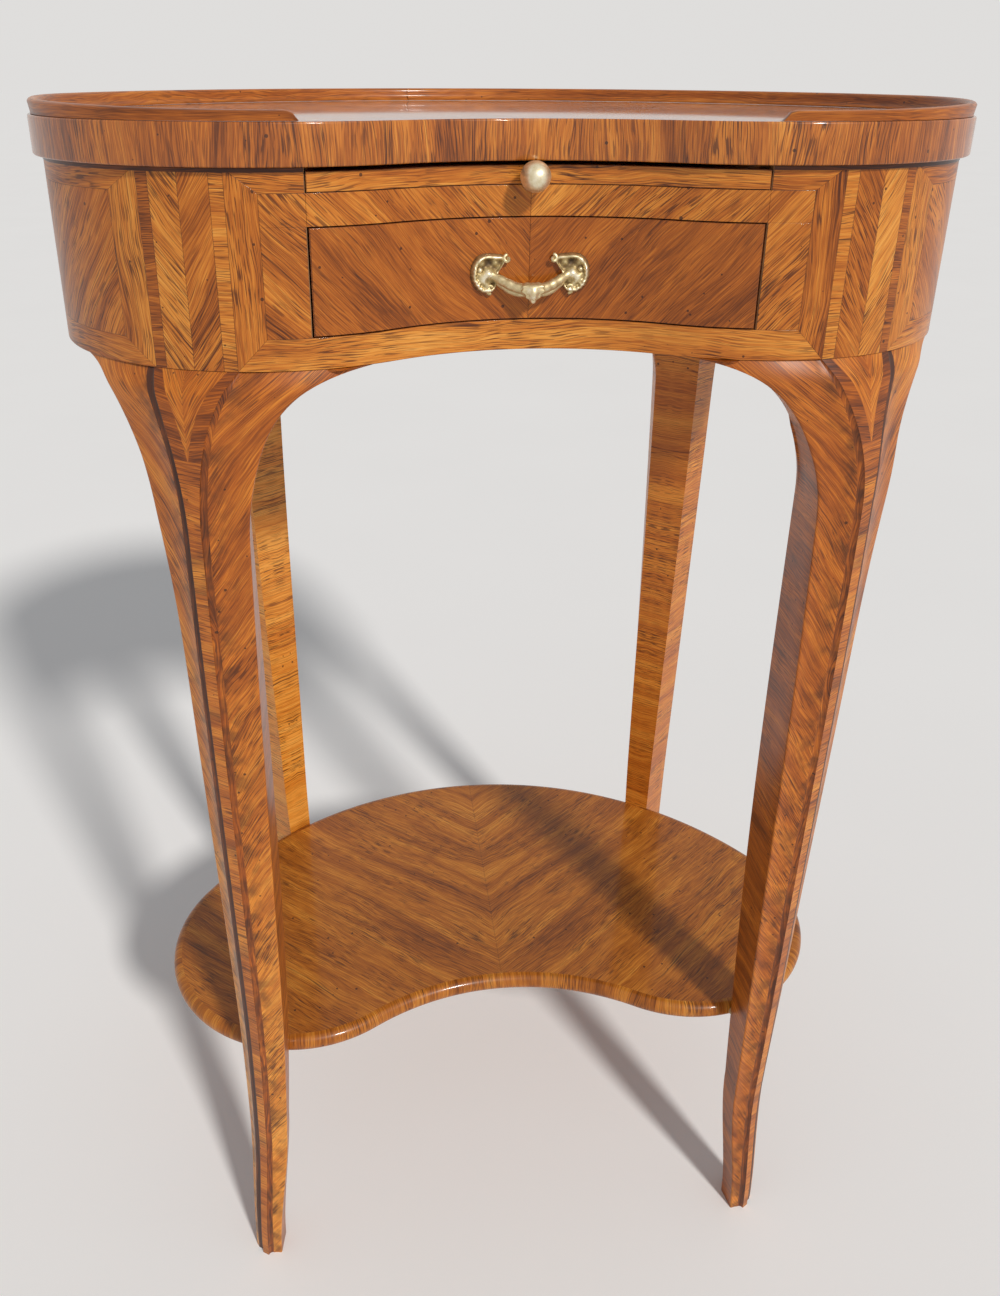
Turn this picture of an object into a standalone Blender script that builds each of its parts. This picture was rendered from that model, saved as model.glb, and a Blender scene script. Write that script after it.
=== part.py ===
"""Kidney-shaped occasional table with a brushing slide, a drawer and an undertier.

Metres, +Z up. The hollow front faces -Y. The origin is on the floor under the
middle of the top. Every piece is one closed solid under its own name.
"""
import math

import bmesh
import bpy
import numpy as np

# Top
TOP_WIDTH = 0.492
TOP_DEPTH = 0.338
FRONT_HOLLOW = 0.0345
LOBE_RADIUS = 0.120
TOP_HEIGHT = 0.735
TOP_THICK = 0.0185
TOP_ARRIS = 0.001
GALLERY_HEIGHT = 0.008
GALLERY_END_HEIGHT = 0.0046
GALLERY_WIDTH = 0.0083
GALLERY_SET = 0.0012
GALLERY_ROUND = 0.0022
GALLERY_JOINT_X = -0.045

# Frieze
OVERHANG = 0.005
FRIEZE_HEIGHT = 0.0907
PANEL_THICK = 0.018
OPENING_FROM_LEG = 0.0598
BOTTOM_RAIL_HEIGHT = 0.015
DIVIDER_HEIGHT = 0.0145
RAIL_WIDTH = 0.045

# Legs: place beyond the lobes' centres and the turn of the strip away from straight ahead
FRONT_LEG_BEYOND = 0.040
FRONT_LEG_TURN = math.radians(30)
REAR_LEG_BEYOND = 0.033
REAR_LEG_TURN = math.radians(39)
STILE_WIDTH = 0.050
STILE_DEPTH = 0.030
SHIELD_WIDTH = 0.044
CAVETTO = 0.0035
KNEE_HEIGHT = 0.545
KNEE_OUT = 0.0118
KNEE_STRIP = 0.0076
KNEE_FALL = 0.0125
KNEE_DEPTH = 0.0307
KNEE_BACK = 0.026
ANKLE_HEIGHT = 0.110
ANKLE_OUT = 0.0048
ANKLE_STRIP = 0.0055
ANKLE_WIDTH = 0.030
ANKLE_FALL = 0.0071
ANKLE_DEPTH = 0.033
ANKLE_BACK = 0.013
TOE_OUT = 0.0113
TOE_STRIP = 0.0046
TOE_WIDTH = 0.0196
TOE_FALL = 0.005
TOE_DEPTH = 0.0184
TOE_BACK = 0.009
SIDE_FALL_SHARE = 0.55

# Ears glued beside the knees
EAR_DROP = 0.088
EAR_REACH_FRONT = 0.056
EAR_REACH_SIDE = 0.046
EAR_THICK = 0.016
EAR_TIP = 0.001
EAR_BOW = 0.6

# Undertier: drawn in from the top's front and back edges
SHELF_WIDTH = 0.469
SHELF_FRONT_IN = 0.0305
SHELF_BACK_IN = 0.0415
SHELF_HOLLOW = 0.0385
SHELF_LOBE = 0.096
SHELF_HEIGHT = 0.168
SHELF_THICK = 0.012
DOWEL_RADIUS = 0.0025
DOWEL_LENGTH = 0.022

# Drawer
DRAWER_BACK_CLEAR = 0.0076
DRAWER_FRONT_THICK = 0.016
DRAWER_SIDE_THICK = 0.008
DRAWER_BOTTOM_THICK = 0.005
DRAWER_BOTTOM_LIFT = 0.003
DRAWER_BACK_THICK = 0.008
DRAWER_BACK_DROP = 0.006
GROOVE_DEPTH = 0.003
DRAWER_SIDE_PLAY = 0.001
DRAWER_REVEAL = 0.0006
STOP_WIDTH = 0.022
STOP_LENGTH = 0.012
STOP_PLACE = 0.055

# Slide
SLIDE_THICK = 0.0086
SLIDE_BACK_CLEAR = 0.0076
SLIDE_PLAY = 0.0006
SLIDE_HEADROOM = 0.0022
LIPPING = 0.016
KNOB_RADIUS = 0.0072
KNOB_REACH = 0.021
KNOB_NECK = 0.0036
KNOB_COLLAR = 0.003
SPIGOT_RADIUS = 0.0016
SPIGOT_LENGTH = 0.011

# Runners
RUNNER_REACH = 0.0115
RUNNER_UNDER = 0.018
RUNNER_THICK = 0.009
GUIDE_HEIGHT = 0.016
BLOCK_LENGTH = 0.030
BLOCK_SIZE = 0.013
SIDE_BLOCK_ANGLE = math.radians(-18)
BACK_BLOCK_CLEAR = 0.0031

# Handle
HANDLE_WIDTH = 0.061
HANDLE_DROP = 0.0015
PLATE_WIDTH = 0.020
PLATE_HEIGHT = 0.020
PLATE_THICK = 0.0032
BOW_HEIGHT = 0.0062
BOW_THICK = 0.0046
BOW_REACH = 0.013
BOW_SAG = 0.0055
LEAF_HEIGHT = 0.010
PIN_RADIUS = 0.0012
PIN_HEAD = 0.0026
PIN_LENGTH = 0.012

# Clearances
GAP = 0.0003
BORE_PLAY = 0.0003

# Looks: colour, roughness, metallic
KINGWOOD = ((0.33, 0.13, 0.045), 0.32, 0.0)
CROSSBAND = ((0.26, 0.09, 0.032), 0.32, 0.0)
LINING = ((0.45, 0.29, 0.15), 0.65, 0.0)
BRASS = ((0.55, 0.42, 0.22), 0.36, 1.0)

# Derived heights
TOP_UNDER = TOP_HEIGHT - TOP_THICK
FRIEZE_TOP = TOP_UNDER - GAP
FRIEZE_BOTTOM = TOP_UNDER - FRIEZE_HEIGHT
DRAWER_FLOOR = FRIEZE_BOTTOM + BOTTOM_RAIL_HEIGHT
SLIDE_TOP = TOP_UNDER - SLIDE_HEADROOM
SLIDE_UNDER = SLIDE_TOP - SLIDE_THICK
DIVIDER_TOP = SLIDE_UNDER - GAP
DIVIDER_UNDER = DIVIDER_TOP - DIVIDER_HEIGHT
STILE_HALF = STILE_WIDTH / 2
SHELF_UNDER = SHELF_HEIGHT - SHELF_THICK
SHELF_DEPTH = TOP_DEPTH - SHELF_FRONT_IN - SHELF_BACK_IN
SHELF_SET = (SHELF_FRONT_IN - SHELF_BACK_IN) / 2


class Kidney:
    """Outline of four kinds of tangent arc: hollow front, two lobes, bowed back."""

    def __init__(self, width, depth, hollow, lobe, y_mid):
        self.lobe = lobe
        self.cx = width / 2 - lobe
        shift = y_mid - depth / 2
        reach = self.cx ** 2 + lobe ** 2
        back = (reach - (depth - lobe) ** 2) / (2 * (2 * lobe - depth))
        front = -(reach - (hollow + lobe) ** 2) / (2 * hollow)
        self.back_radius = depth - back
        self.front_radius = hollow - front
        self.cy = lobe + shift
        self.back_y = back + shift
        self.front_y = front + shift
        self.front_turn = math.atan2(self.cy - self.front_y, self.cx)
        self.back_turn = math.atan2(self.cy - self.back_y, self.cx)

    def front(self, x, inset=0.0):
        """Y of the front edge at x, drawn in by inset."""
        hollow = self.front_radius + inset
        x = abs(x)
        if x <= hollow * math.cos(self.front_turn):
            return self.front_y + math.sqrt(hollow ** 2 - x ** 2)
        lobe = self.lobe - inset
        return self.cy - math.sqrt(lobe ** 2 - (x - self.cx) ** 2)

    def rear(self, x, inset=0.0):
        """Y of the back edge at x, drawn in by inset."""
        return self.back_y + math.sqrt((self.back_radius - inset) ** 2 - x ** 2)

    def lobe_point(self, angle, inset=0.0):
        radius = self.lobe - inset
        return (self.cx + radius * math.cos(angle), self.cy + radius * math.sin(angle))

    def back_point(self, angle, inset=0.0):
        radius = self.back_radius - inset
        return (radius * math.cos(angle), self.back_y + radius * math.sin(angle))

    def right_half(self, inset=0.0):
        """Points from the front middle round the right lobe to the back middle."""
        points = []
        hollow = self.front_radius + inset
        for angle in np.linspace(math.pi / 2, self.front_turn, 8)[:-1]:
            points.append((hollow * math.cos(angle), self.front_y + hollow * math.sin(angle)))
        for angle in np.linspace(self.front_turn - math.pi, self.back_turn, 22)[:-1]:
            points.append(self.lobe_point(angle, inset))
        for angle in np.linspace(self.back_turn, math.pi / 2, 18):
            points.append(self.back_point(angle, inset))
        return points

    def ring(self, inset=0.0):
        right = self.right_half(inset)
        left = [(-x, y) for x, y in right[-2:0:-1]]
        return right + left


TOP = Kidney(TOP_WIDTH, TOP_DEPTH, FRONT_HOLLOW, LOBE_RADIUS, 0.0)
SHELF = Kidney(SHELF_WIDTH, SHELF_DEPTH, SHELF_HOLLOW, SHELF_LOBE, SHELF_SET)

# Derived from the top's outline
FRONT_LEG_X = TOP.cx + FRONT_LEG_BEYOND
REAR_LEG_X = TOP.cx + REAR_LEG_BEYOND
OPENING_HALF = FRONT_LEG_X - OPENING_FROM_LEG
FRONT_FACE = TOP.front(0.0, OVERHANG)
BACK_FACE = TOP.rear(OPENING_HALF, OVERHANG + PANEL_THICK)
DRAWER_DEPTH = BACK_FACE - DRAWER_BACK_CLEAR - FRONT_FACE
SLIDE_DEPTH = BACK_FACE - SLIDE_BACK_CLEAR - FRONT_FACE


def clear_scene():
    for item in list(bpy.data.objects):
        bpy.data.objects.remove(item, do_unlink=True)


def finish(name, bm, look, parent=None, smooth=False):
    """Turn a bmesh into a named object with its own material."""
    bmesh.ops.remove_doubles(bm, verts=bm.verts, dist=1e-7)
    bmesh.ops.recalc_face_normals(bm, faces=bm.faces)
    if parent is not None:
        bmesh.ops.translate(bm, verts=bm.verts, vec=-parent.location)
    mesh = bpy.data.meshes.new(name)
    bm.to_mesh(mesh)
    bm.free()
    item = bpy.data.objects.new(name, mesh)
    bpy.context.scene.collection.objects.link(item)
    item.parent = parent
    colour, roughness, metallic = look
    material = bpy.data.materials.new(name)
    material.use_nodes = True
    shader = material.node_tree.nodes["Principled BSDF"]
    shader.inputs["Base Color"].default_value = (*colour, 1.0)
    shader.inputs["Roughness"].default_value = roughness
    shader.inputs["Metallic"].default_value = metallic
    mesh.materials.append(material)
    if smooth:
        mesh.shade_smooth()
        mesh.set_sharp_from_angle(angle=math.radians(40))
    return item


def loft(name, rings, look, parent=None, smooth=False):
    """Solid through a stack of equal rings, capped at both ends."""
    bm = bmesh.new()
    rows = [[bm.verts.new(point) for point in ring] for ring in rings]
    count = len(rings[0])
    for low, high in zip(rows, rows[1:]):
        for i in range(count):
            j = (i + 1) % count
            bm.faces.new((low[i], low[j], high[j], high[i]))
    bm.faces.new(rows[0][::-1])
    bm.faces.new(rows[-1])
    return finish(name, bm, look, parent, smooth)


def prism(name, outline, low, high, look, parent=None):
    """Flat outline in plan, raised from low to high."""
    rings = [[(x, y, z) for x, y in outline] for z in (low, high)]
    return loft(name, rings, look, parent)


def box(name, x, y, z, look, parent=None):
    outline = [(x[0], y[0]), (x[1], y[0]), (x[1], y[1]), (x[0], y[1])]
    return prism(name, outline, z[0], z[1], look, parent)


def turned(name, profile, place, axis, look, parent=None, sides=20):
    """Solid turned about an axis through place; profile is (along, radius)."""
    axis = np.array(axis, float) / np.linalg.norm(axis)
    across = np.cross(axis, (0.0, 0.0, 1.0))
    across /= np.linalg.norm(across)
    other = np.cross(axis, across)
    rings = []
    for along, radius in profile:
        ring = []
        for k in range(sides):
            angle = 2 * math.pi * k / sides
            spoke = across * math.cos(angle) + other * math.sin(angle)
            ring.append(tuple(np.array(place) + axis * along + spoke * radius))
        rings.append(ring)
    return loft(name, rings, look, parent, smooth=True)


def cut(target, cutter):
    """Take the cutter's space out of the target."""
    cutter.hide_render = True
    cutter.display_type = "WIRE"
    modifier = target.modifiers.new("cut " + cutter.name, "BOOLEAN")
    modifier.operation = "DIFFERENCE"
    modifier.solver = "EXACT"
    modifier.object = cutter


def ease(low, high, t):
    """Smooth passage from low to high as t runs from 0 to 1."""
    t = min(max(t, 0.0), 1.0)
    return low + (high - low) * t * t * (3 - 2 * t)


def mirrored(points):
    return [(-point[0],) + tuple(point[1:]) for point in points]


class Leg:
    """Cabriole leg under the right half of the frieze, in its own turned frame.

    out points away from the table and along runs round the frieze. A raised
    strip, a shield at the knee, runs down the outer corner between two hollows.
    """

    def __init__(self, x, turn, rear):
        self.rear = rear
        if rear:
            y = TOP.rear(x, OVERHANG)
            self.out = np.array((math.sin(turn), math.cos(turn)))
            self.centre = np.array((0.0, TOP.back_y))
            self.radius = TOP.back_radius - OVERHANG
        else:
            y = TOP.front(x, OVERHANG)
            self.out = np.array((math.sin(turn), -math.cos(turn)))
            self.centre = np.array((TOP.cx, TOP.cy))
            self.radius = TOP.lobe - OVERHANG
        self.along = np.array((-self.out[1], self.out[0]))
        self.base = np.array((x, y))
        inward = 1 if rear else -1
        self.share = {inward: 1.0, -inward: SIDE_FALL_SHARE}

    def plan(self, q, n):
        return self.base + self.along * q + self.out * n

    def face(self, q, inset=0.0):
        """How far out the frieze's face lies beside the leg, at q along it."""
        offset = self.centre - self.base
        radius = self.radius - inset
        return offset @ self.out + math.sqrt(radius ** 2 - (q - offset @ self.along) ** 2)

    def angle(self, q, inset):
        """Angle on the frieze's arc where the plane at q cuts it."""
        x, y = self.plan(q, self.face(q, inset)) - self.centre
        return math.atan2(y, x)

    def section(self, z):
        """Sizes of the leg's section at height z."""
        drop = FRIEZE_BOTTOM - KNEE_HEIGHT
        fall = (FRIEZE_BOTTOM - z) / drop
        narrow = STILE_HALF
        knee = KNEE_OUT - KNEE_DEPTH
        if z >= FRIEZE_BOTTOM:
            return 0.0, SHIELD_WIDTH / 2, narrow, 0.0, -STILE_DEPTH, narrow, 0.0
        if z >= KNEE_HEIGHT:
            strip = KNEE_STRIP / 2 + (SHIELD_WIDTH - KNEE_STRIP) / 2 * (1 - fall) ** 2.2
            back = ease(narrow, KNEE_BACK / 2, fall)
            return (ease(0.0, KNEE_OUT, fall), strip, narrow, KNEE_FALL, ease(-STILE_DEPTH, knee, fall),
                    back, ease(0.0, 1.0, 1.6 * fall))
        if z >= ANKLE_HEIGHT:
            t = (KNEE_HEIGHT - z) / (KNEE_HEIGHT - ANKLE_HEIGHT)
            return (ease(KNEE_OUT, ANKLE_OUT, t), np.interp(t, (0, 1), (KNEE_STRIP / 2, ANKLE_STRIP / 2)),
                    np.interp(t, (0, 1), (narrow, ANKLE_WIDTH / 2)),
                    np.interp(t, (0, 1), (KNEE_FALL, ANKLE_FALL)),
                    ease(knee, ANKLE_OUT - ANKLE_DEPTH, t),
                    np.interp(t, (0, 1), (KNEE_BACK / 2, ANKLE_BACK / 2)), 1.0)
        t = (ANKLE_HEIGHT - z) / ANKLE_HEIGHT
        return (ease(ANKLE_OUT, TOE_OUT, t), np.interp(t, (0, 1), (ANKLE_STRIP / 2, TOE_STRIP / 2)),
                ease(ANKLE_WIDTH / 2, TOE_WIDTH / 2, t), ease(ANKLE_FALL, TOE_FALL, t),
                ease(ANKLE_OUT - ANKLE_DEPTH, TOE_OUT - TOE_DEPTH, t),
                ease(ANKLE_BACK / 2, TOE_BACK / 2, t), 1.0)

    def side(self, z, sign):
        """How far out the leg's side edge lies at height z."""
        out, strip, wide, fall, back, narrow, blend = self.section(z)
        return out + (1 - blend) * self.face(sign * wide) - blend * fall * self.share[sign]

    def ring(self, z, grow=0.0):
        """Closed section at height z, made larger all round by grow."""
        out, strip, wide, fall, back, narrow, blend = self.section(z)
        hollow = min(CAVETTO, 0.6 * (wide - strip))
        half = [(strip * t, 0.0) for t in (0.0, 0.5, 1.0)]
        half.append((strip + 0.29 * hollow, -0.71 * hollow))
        half.append((strip + hollow, -hollow))
        sides = {}
        for sign in (-1, 1):
            points = []
            for q, n in half + [(wide, -fall * self.share[sign])]:
                flat = (1 - blend) * self.face(sign * q) + blend * n
                points.append((sign * q, out + flat))
            edge = points[-1]
            tail = (sign * narrow, back)
            low = ((edge[0] + tail[0]) / 2, (edge[1] + tail[1]) / 2)
            high = (sign * wide, min(edge[1], self.face(sign * STILE_HALF)) - EAR_THICK)
            ear_low = FRIEZE_BOTTOM - EAR_DROP
            t = ease(0.0, 1.0, (ear_low - z) / (ear_low - ANKLE_HEIGHT) * 4)
            middle = (high[0] + (low[0] - high[0]) * t, max(high[1] + (low[1] - high[1]) * t, back))
            sides[sign] = points + [middle, tail]
        ring = sides[-1][::-1] + sides[1][1:]
        if grow:
            middle = np.mean(ring, axis=0)
            ring = [point + (point - middle) * grow / np.linalg.norm(point - middle)
                    for point in np.array(ring)]
        return [(*self.plan(q, n), z) for q, n in ring]

    def levels(self):
        knee = np.linspace(FRIEZE_BOTTOM, KNEE_HEIGHT, 8)
        shin = np.linspace(KNEE_HEIGHT, ANKLE_HEIGHT, 8)[1:]
        foot = np.linspace(ANKLE_HEIGHT, 0.0, 6)[1:]
        return [FRIEZE_TOP, *knee, *shin, *foot][::-1]

    def ear(self, sign, reach):
        """Bracket beside the knee: bowed face outside, arched edge below."""
        grid = []
        start = STILE_HALF + GAP
        steps = np.linspace(0.0, 1.0, 9) ** 1.5
        for step in steps:
            depth = step * EAR_DROP
            share = ((depth + EAR_TIP) / (EAR_DROP + 2 * EAR_TIP)) ** EAR_BOW
            length = max(reach * (1 - share) ** (1 / EAR_BOW), EAR_TIP)
            z = FRIEZE_BOTTOM - GAP - depth
            swell = self.side(z, sign) - self.face(sign * STILE_HALF)
            row = []
            for t in np.linspace(0.0, 1.0, 6):
                q = start + length * t
                near = (1 - (q - start) / reach) ** 2
                face = self.face(sign * q)
                outer = self.plan(sign * q, face + swell * near)
                inner = self.plan(sign * q, face - EAR_THICK + min(swell, 0.0))
                row.append(((*outer, z), (*inner, z)))
            grid.append(row)
        return grid


def grid_solid(name, grid, look):
    """Solid between the two skins of a grid of point pairs."""
    bm = bmesh.new()
    skins = [[[bm.verts.new(pair[k]) for pair in row] for row in grid] for k in (0, 1)]
    rows, columns = len(grid), len(grid[0])
    for k, skin in enumerate(skins):
        for i in range(rows - 1):
            for j in range(columns - 1):
                quad = (skin[i][j], skin[i][j + 1], skin[i + 1][j + 1], skin[i + 1][j])
                bm.faces.new(quad if k else quad[::-1])
    edge = [(0, j) for j in range(columns)] + [(i, columns - 1) for i in range(1, rows)]
    edge += [(rows - 1, j) for j in range(columns - 2, -1, -1)] + [(i, 0) for i in range(rows - 2, 0, -1)]
    for (i, j), (m, n) in zip(edge, edge[1:] + edge[:1]):
        bm.faces.new((skins[0][i][j], skins[1][i][j], skins[1][m][n], skins[0][m][n]))
    return finish(name, bm, look, smooth=True)


def panel(name, outer, inner, look, flip):
    """Frieze board between two lines in plan, standing the frieze's height."""
    outline = list(outer) + list(inner)[::-1]
    if flip:
        outline = mirrored(outline)
    return prism(name, outline, FRIEZE_BOTTOM, FRIEZE_TOP, look)


def front_band(half, inset, steps=20):
    """Points of the front edge from -half to half."""
    return [(x, TOP.front(x, inset)) for x in np.linspace(-half, half, steps + 1)]


def build_top():
    rings = []
    for inset, z in ((TOP_ARRIS, TOP_UNDER), (0.0, TOP_UNDER + TOP_ARRIS),
                     (0.0, TOP_HEIGHT - TOP_ARRIS), (TOP_ARRIS, TOP_HEIGHT)):
        rings.append([(x, y, z) for x, y in TOP.ring(inset)])
    loft("top_board", rings, KINGWOOD)

    low = TOP_HEIGHT + GAP
    high = TOP_HEIGHT + GALLERY_HEIGHT
    crown = GALLERY_SET + GALLERY_ROUND
    foot = GALLERY_SET + GALLERY_WIDTH
    profile = ((GALLERY_SET, low), (GALLERY_SET, high - GALLERY_ROUND), (crown - GALLERY_ROUND / 4, high),
               (crown + GALLERY_ROUND / 2, high - GALLERY_ROUND / 4),
               (foot - GALLERY_ROUND / 2, low + GALLERY_ROUND), (foot, low))

    def path(inset):
        """From the right-hand end of the front opening round to the left-hand one."""
        start = math.acos((OPENING_HALF - TOP.cx) / (TOP.lobe - inset))
        right = [TOP.lobe_point(a, inset) for a in np.linspace(-start, TOP.back_turn, 24)[:-1]]
        turn = math.acos(GALLERY_JOINT_X / (TOP.back_radius - inset))
        straight = math.pi - TOP.back_turn
        first = [TOP.back_point(a, inset) for a in np.linspace(TOP.back_turn, turn, 20)]
        second = [TOP.back_point(a, inset) for a in np.linspace(turn, straight, 12)]
        left = mirrored(right[::-1])
        return right + first, second + left

    for side, name in enumerate(("gallery_right", "gallery_left")):
        lines = [path(inset)[side] for inset, _ in profile]
        rings = []
        count = len(lines[0])
        for i in range(count):
            end = i if side == 0 else count - 1 - i
            lift = min(1.0, 0.4 + 0.6 * end / 2) * ease(GALLERY_END_HEIGHT / GALLERY_HEIGHT, 1.0, end / 24)
            rings.append([(*line[i], low + (z - low) * lift) for line, (_, z) in zip(lines, profile)])
        if side == 1:
            shift = GAP / GALLERY_WIDTH
            rings[0] = [tuple(np.array(a) + (np.array(b) - np.array(a)) * shift)
                        for a, b in zip(rings[0], rings[1])]
        loft(name, rings, CROSSBAND, smooth=True)


def build_carcass(front_leg, rear_leg):
    edge = STILE_HALF + GAP
    insets = (OVERHANG, OVERHANG + PANEL_THICK)

    def side_line(inset):
        deep = inset - OVERHANG
        start = front_leg.angle(edge, deep)
        stop = rear_leg.angle(-edge, deep)
        lobe = [TOP.lobe_point(a, inset) for a in np.linspace(start, TOP.back_turn, 12)[:-1]]
        return lobe + [TOP.back_point(a, inset) for a in np.linspace(TOP.back_turn, stop, 7)]

    def stub_line(inset):
        deep = inset - OVERHANG
        stop = front_leg.angle(-edge, deep)
        start = -math.acos((OPENING_HALF - TOP.cx) / (TOP.lobe - inset))
        return [TOP.lobe_point(a, inset) for a in np.linspace(start, stop, 5)]

    def back_line(inset):
        start = rear_leg.angle(edge, inset - OVERHANG)
        return [TOP.back_point(a, inset) for a in np.linspace(start, math.pi - start, 15)]

    for flip, hand in ((False, "right"), (True, "left")):
        panel("side_panel_" + hand, *[side_line(i) for i in insets], KINGWOOD, flip)
        panel("front_panel_" + hand, *[stub_line(i) for i in insets], KINGWOOD, flip)
    panel("back_panel", *[back_line(i) for i in insets], KINGWOOD, False)

    half = OPENING_HALF - GAP
    line = front_band(half, OVERHANG)
    rear = FRONT_FACE + RAIL_WIDTH
    outline = line + [(half, rear), (-half, rear)]
    prism("front_bottom_rail", outline, FRIEZE_BOTTOM, DRAWER_FLOOR, CROSSBAND)
    prism("drawer_divider_rail", outline, DIVIDER_UNDER, DIVIDER_TOP, KINGWOOD)
    return rear


def build_runners(rail_rear):
    """Runners and guides behind the front rails, cut to meet the back board."""
    inset = OVERHANG + PANEL_THICK + GAP
    inner = OPENING_HALF - RUNNER_UNDER
    outer = OPENING_HALF + RUNNER_REACH
    start = rail_rear + GAP
    side_bottom = DRAWER_FLOOR + DRAWER_REVEAL + 2 * GAP
    for sign, hand in ((1, "right"), (-1, "left")):
        wide = [(sign * inner, start), (sign * outer, start),
                (sign * outer, TOP.rear(outer, inset)), (sign * inner, TOP.rear(inner, inset))]
        near = OPENING_HALF
        strip = [(sign * near, start), (sign * outer, start),
                 (sign * outer, TOP.rear(outer, inset)), (sign * near, TOP.rear(near, inset))]
        runner_top = side_bottom - GAP
        prism("drawer_runner_" + hand, wide, runner_top - RUNNER_THICK, runner_top, LINING)
        prism("drawer_guide_" + hand, strip, runner_top + GAP, runner_top + GUIDE_HEIGHT, LINING)
        prism("slide_runner_" + hand, wide, DIVIDER_UNDER, DIVIDER_TOP, LINING)
        prism("slide_guide_" + hand, strip, DIVIDER_TOP + GAP, FRIEZE_TOP, LINING)

    deep = OVERHANG + PANEL_THICK + GAP
    back_radius = TOP.back_radius - deep
    block_x = OPENING_HALF - RUNNER_UNDER - BACK_BLOCK_CLEAR - BLOCK_LENGTH / 2
    for kind, centre, radius, angle in (
            ("side", (TOP.cx, TOP.cy), TOP.lobe - deep, SIDE_BLOCK_ANGLE),
            ("back", (0.0, TOP.back_y), back_radius, math.acos(block_x / back_radius))):
        far = math.sqrt(radius ** 2 - (BLOCK_LENGTH / 2) ** 2)
        spoke = np.array((math.cos(angle), math.sin(angle)))
        along = np.array((-spoke[1], spoke[0]))
        corners = [(far, -1), (far, 1), (far - BLOCK_SIZE, 1), (far - BLOCK_SIZE, -1)]
        outline = [tuple(np.array(centre) + spoke * r + along * s * BLOCK_LENGTH / 2) for r, s in corners]
        for flip, hand in ((False, "right"), (True, "left")):
            shape = mirrored(outline) if flip else outline
            prism("top_block_%s_%s" % (kind, hand), shape, FRIEZE_TOP - BLOCK_SIZE, FRIEZE_TOP, LINING)


def build_legs(front_leg, rear_leg):
    """Four legs with their ears, the undertier let in round them and its dowels."""
    rings = []
    for share in (0.0, 0.15, 0.5, 0.85, 1.0):
        curve = SHELF_THICK / 2 * (1 - math.sqrt(max(0.0, 1 - (2 * share - 1) ** 2)))
        z = SHELF_UNDER + SHELF_THICK * share
        rings.append([(x, y, z) for x, y in SHELF.ring(curve)])
    shelf = loft("undertier", rings, KINGWOOD)

    for leg, place in ((front_leg, "front"), (rear_leg, "rear")):
        body = [leg.ring(z) for z in leg.levels()]
        notch = [leg.ring(z, 2 * GAP) for z in (SHELF_UNDER - SHELF_THICK, SHELF_HEIGHT + SHELF_THICK)]
        ears = ((1, "side"), (-1, "front")) if place == "front" else ((-1, "side"), (1, "back"))
        z = SHELF_HEIGHT - SHELF_THICK / 2
        back = leg.section(z)[4]
        axis = leg.out
        for flip, hand in ((False, "right"), (True, "left")):
            turn = mirrored if flip else list
            item = loft("leg_%s_%s" % (place, hand), [turn(ring) for ring in body], KINGWOOD, smooth=True)
            hole = loft("notch_%s_%s" % (place, hand), [turn(ring) for ring in notch], LINING)
            cut(shelf, hole)
            for sign, kind in ears:
                reach = EAR_REACH_FRONT if kind == "front" else EAR_REACH_SIDE
                grid = [[tuple(turn(pair)) for pair in row] for row in leg.ear(sign, reach)]
                grid_solid("ear_%s_%s_%s" % (place, kind, hand), grid, KINGWOOD)
            mid = turn([(*leg.plan(0.0, back), z)])[0]
            way = turn([(axis[0], axis[1], 0.0)])[0]
            half = DOWEL_LENGTH / 2
            turned("dowel_%s_%s" % (place, hand), ((-half, DOWEL_RADIUS), (half, DOWEL_RADIUS)),
                   mid, way, LINING, sides=12)
            far = half + BORE_PLAY
            wide = DOWEL_RADIUS + BORE_PLAY
            bore = turned("bore_%s_%s" % (place, hand), ((-far, wide), (far, wide)), mid, way, LINING, sides=12)
            cut(shelf, bore)
            cut(item, bore)


def build_drawer(parent):
    face = FRONT_FACE
    low = DRAWER_FLOOR + DRAWER_REVEAL
    high = DIVIDER_UNDER - DRAWER_REVEAL
    half = OPENING_HALF - DRAWER_SIDE_PLAY
    inside = face + DRAWER_FRONT_THICK
    rear = face + DRAWER_DEPTH
    outline = front_band(half, OVERHANG) + [(half, inside), (-half, inside)]
    front = prism("drawer_front", outline, low, high, KINGWOOD, parent)

    side_low = low + 2 * GAP
    side_high = high - DRAWER_REVEAL
    floor_low = side_low + DRAWER_BOTTOM_LIFT
    floor_high = floor_low + DRAWER_BOTTOM_THICK
    wall = half - DRAWER_SIDE_THICK
    deep = wall + GROOVE_DEPTH
    profile = [(half, side_low), (half, side_high), (wall, side_high), (wall, floor_high + GAP),
               (deep, floor_high + GAP), (deep, floor_low - GAP), (wall, floor_low - GAP), (wall, side_low)]
    for sign, hand in ((1, "right"), (-1, "left")):
        rings = [[(sign * x, y, z) for x, z in profile] for y in (inside + GAP, rear)]
        loft("drawer_side_" + hand, rings, LINING, parent)
    reach = deep - GAP
    box("drawer_bottom", (-reach, reach), (inside + GAP, rear), (floor_low, floor_high), LINING, parent)
    box("drawer_back", (GAP - wall, wall - GAP), (rear - DRAWER_BACK_THICK, rear),
        (floor_high + GAP, side_high - DRAWER_BACK_DROP), LINING, parent)

    for sign, hand in ((1, "right"), (-1, "left")):
        middle = sign * STOP_PLACE
        box("drawer_stop_" + hand, (middle - STOP_WIDTH / 2, middle + STOP_WIDTH / 2),
            (inside + GAP, inside + GAP + STOP_LENGTH), (DRAWER_FLOOR + GAP, floor_low - 2 * GAP), LINING)
    build_handle(parent, front, (low + high) / 2 - HANDLE_DROP)


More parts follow.
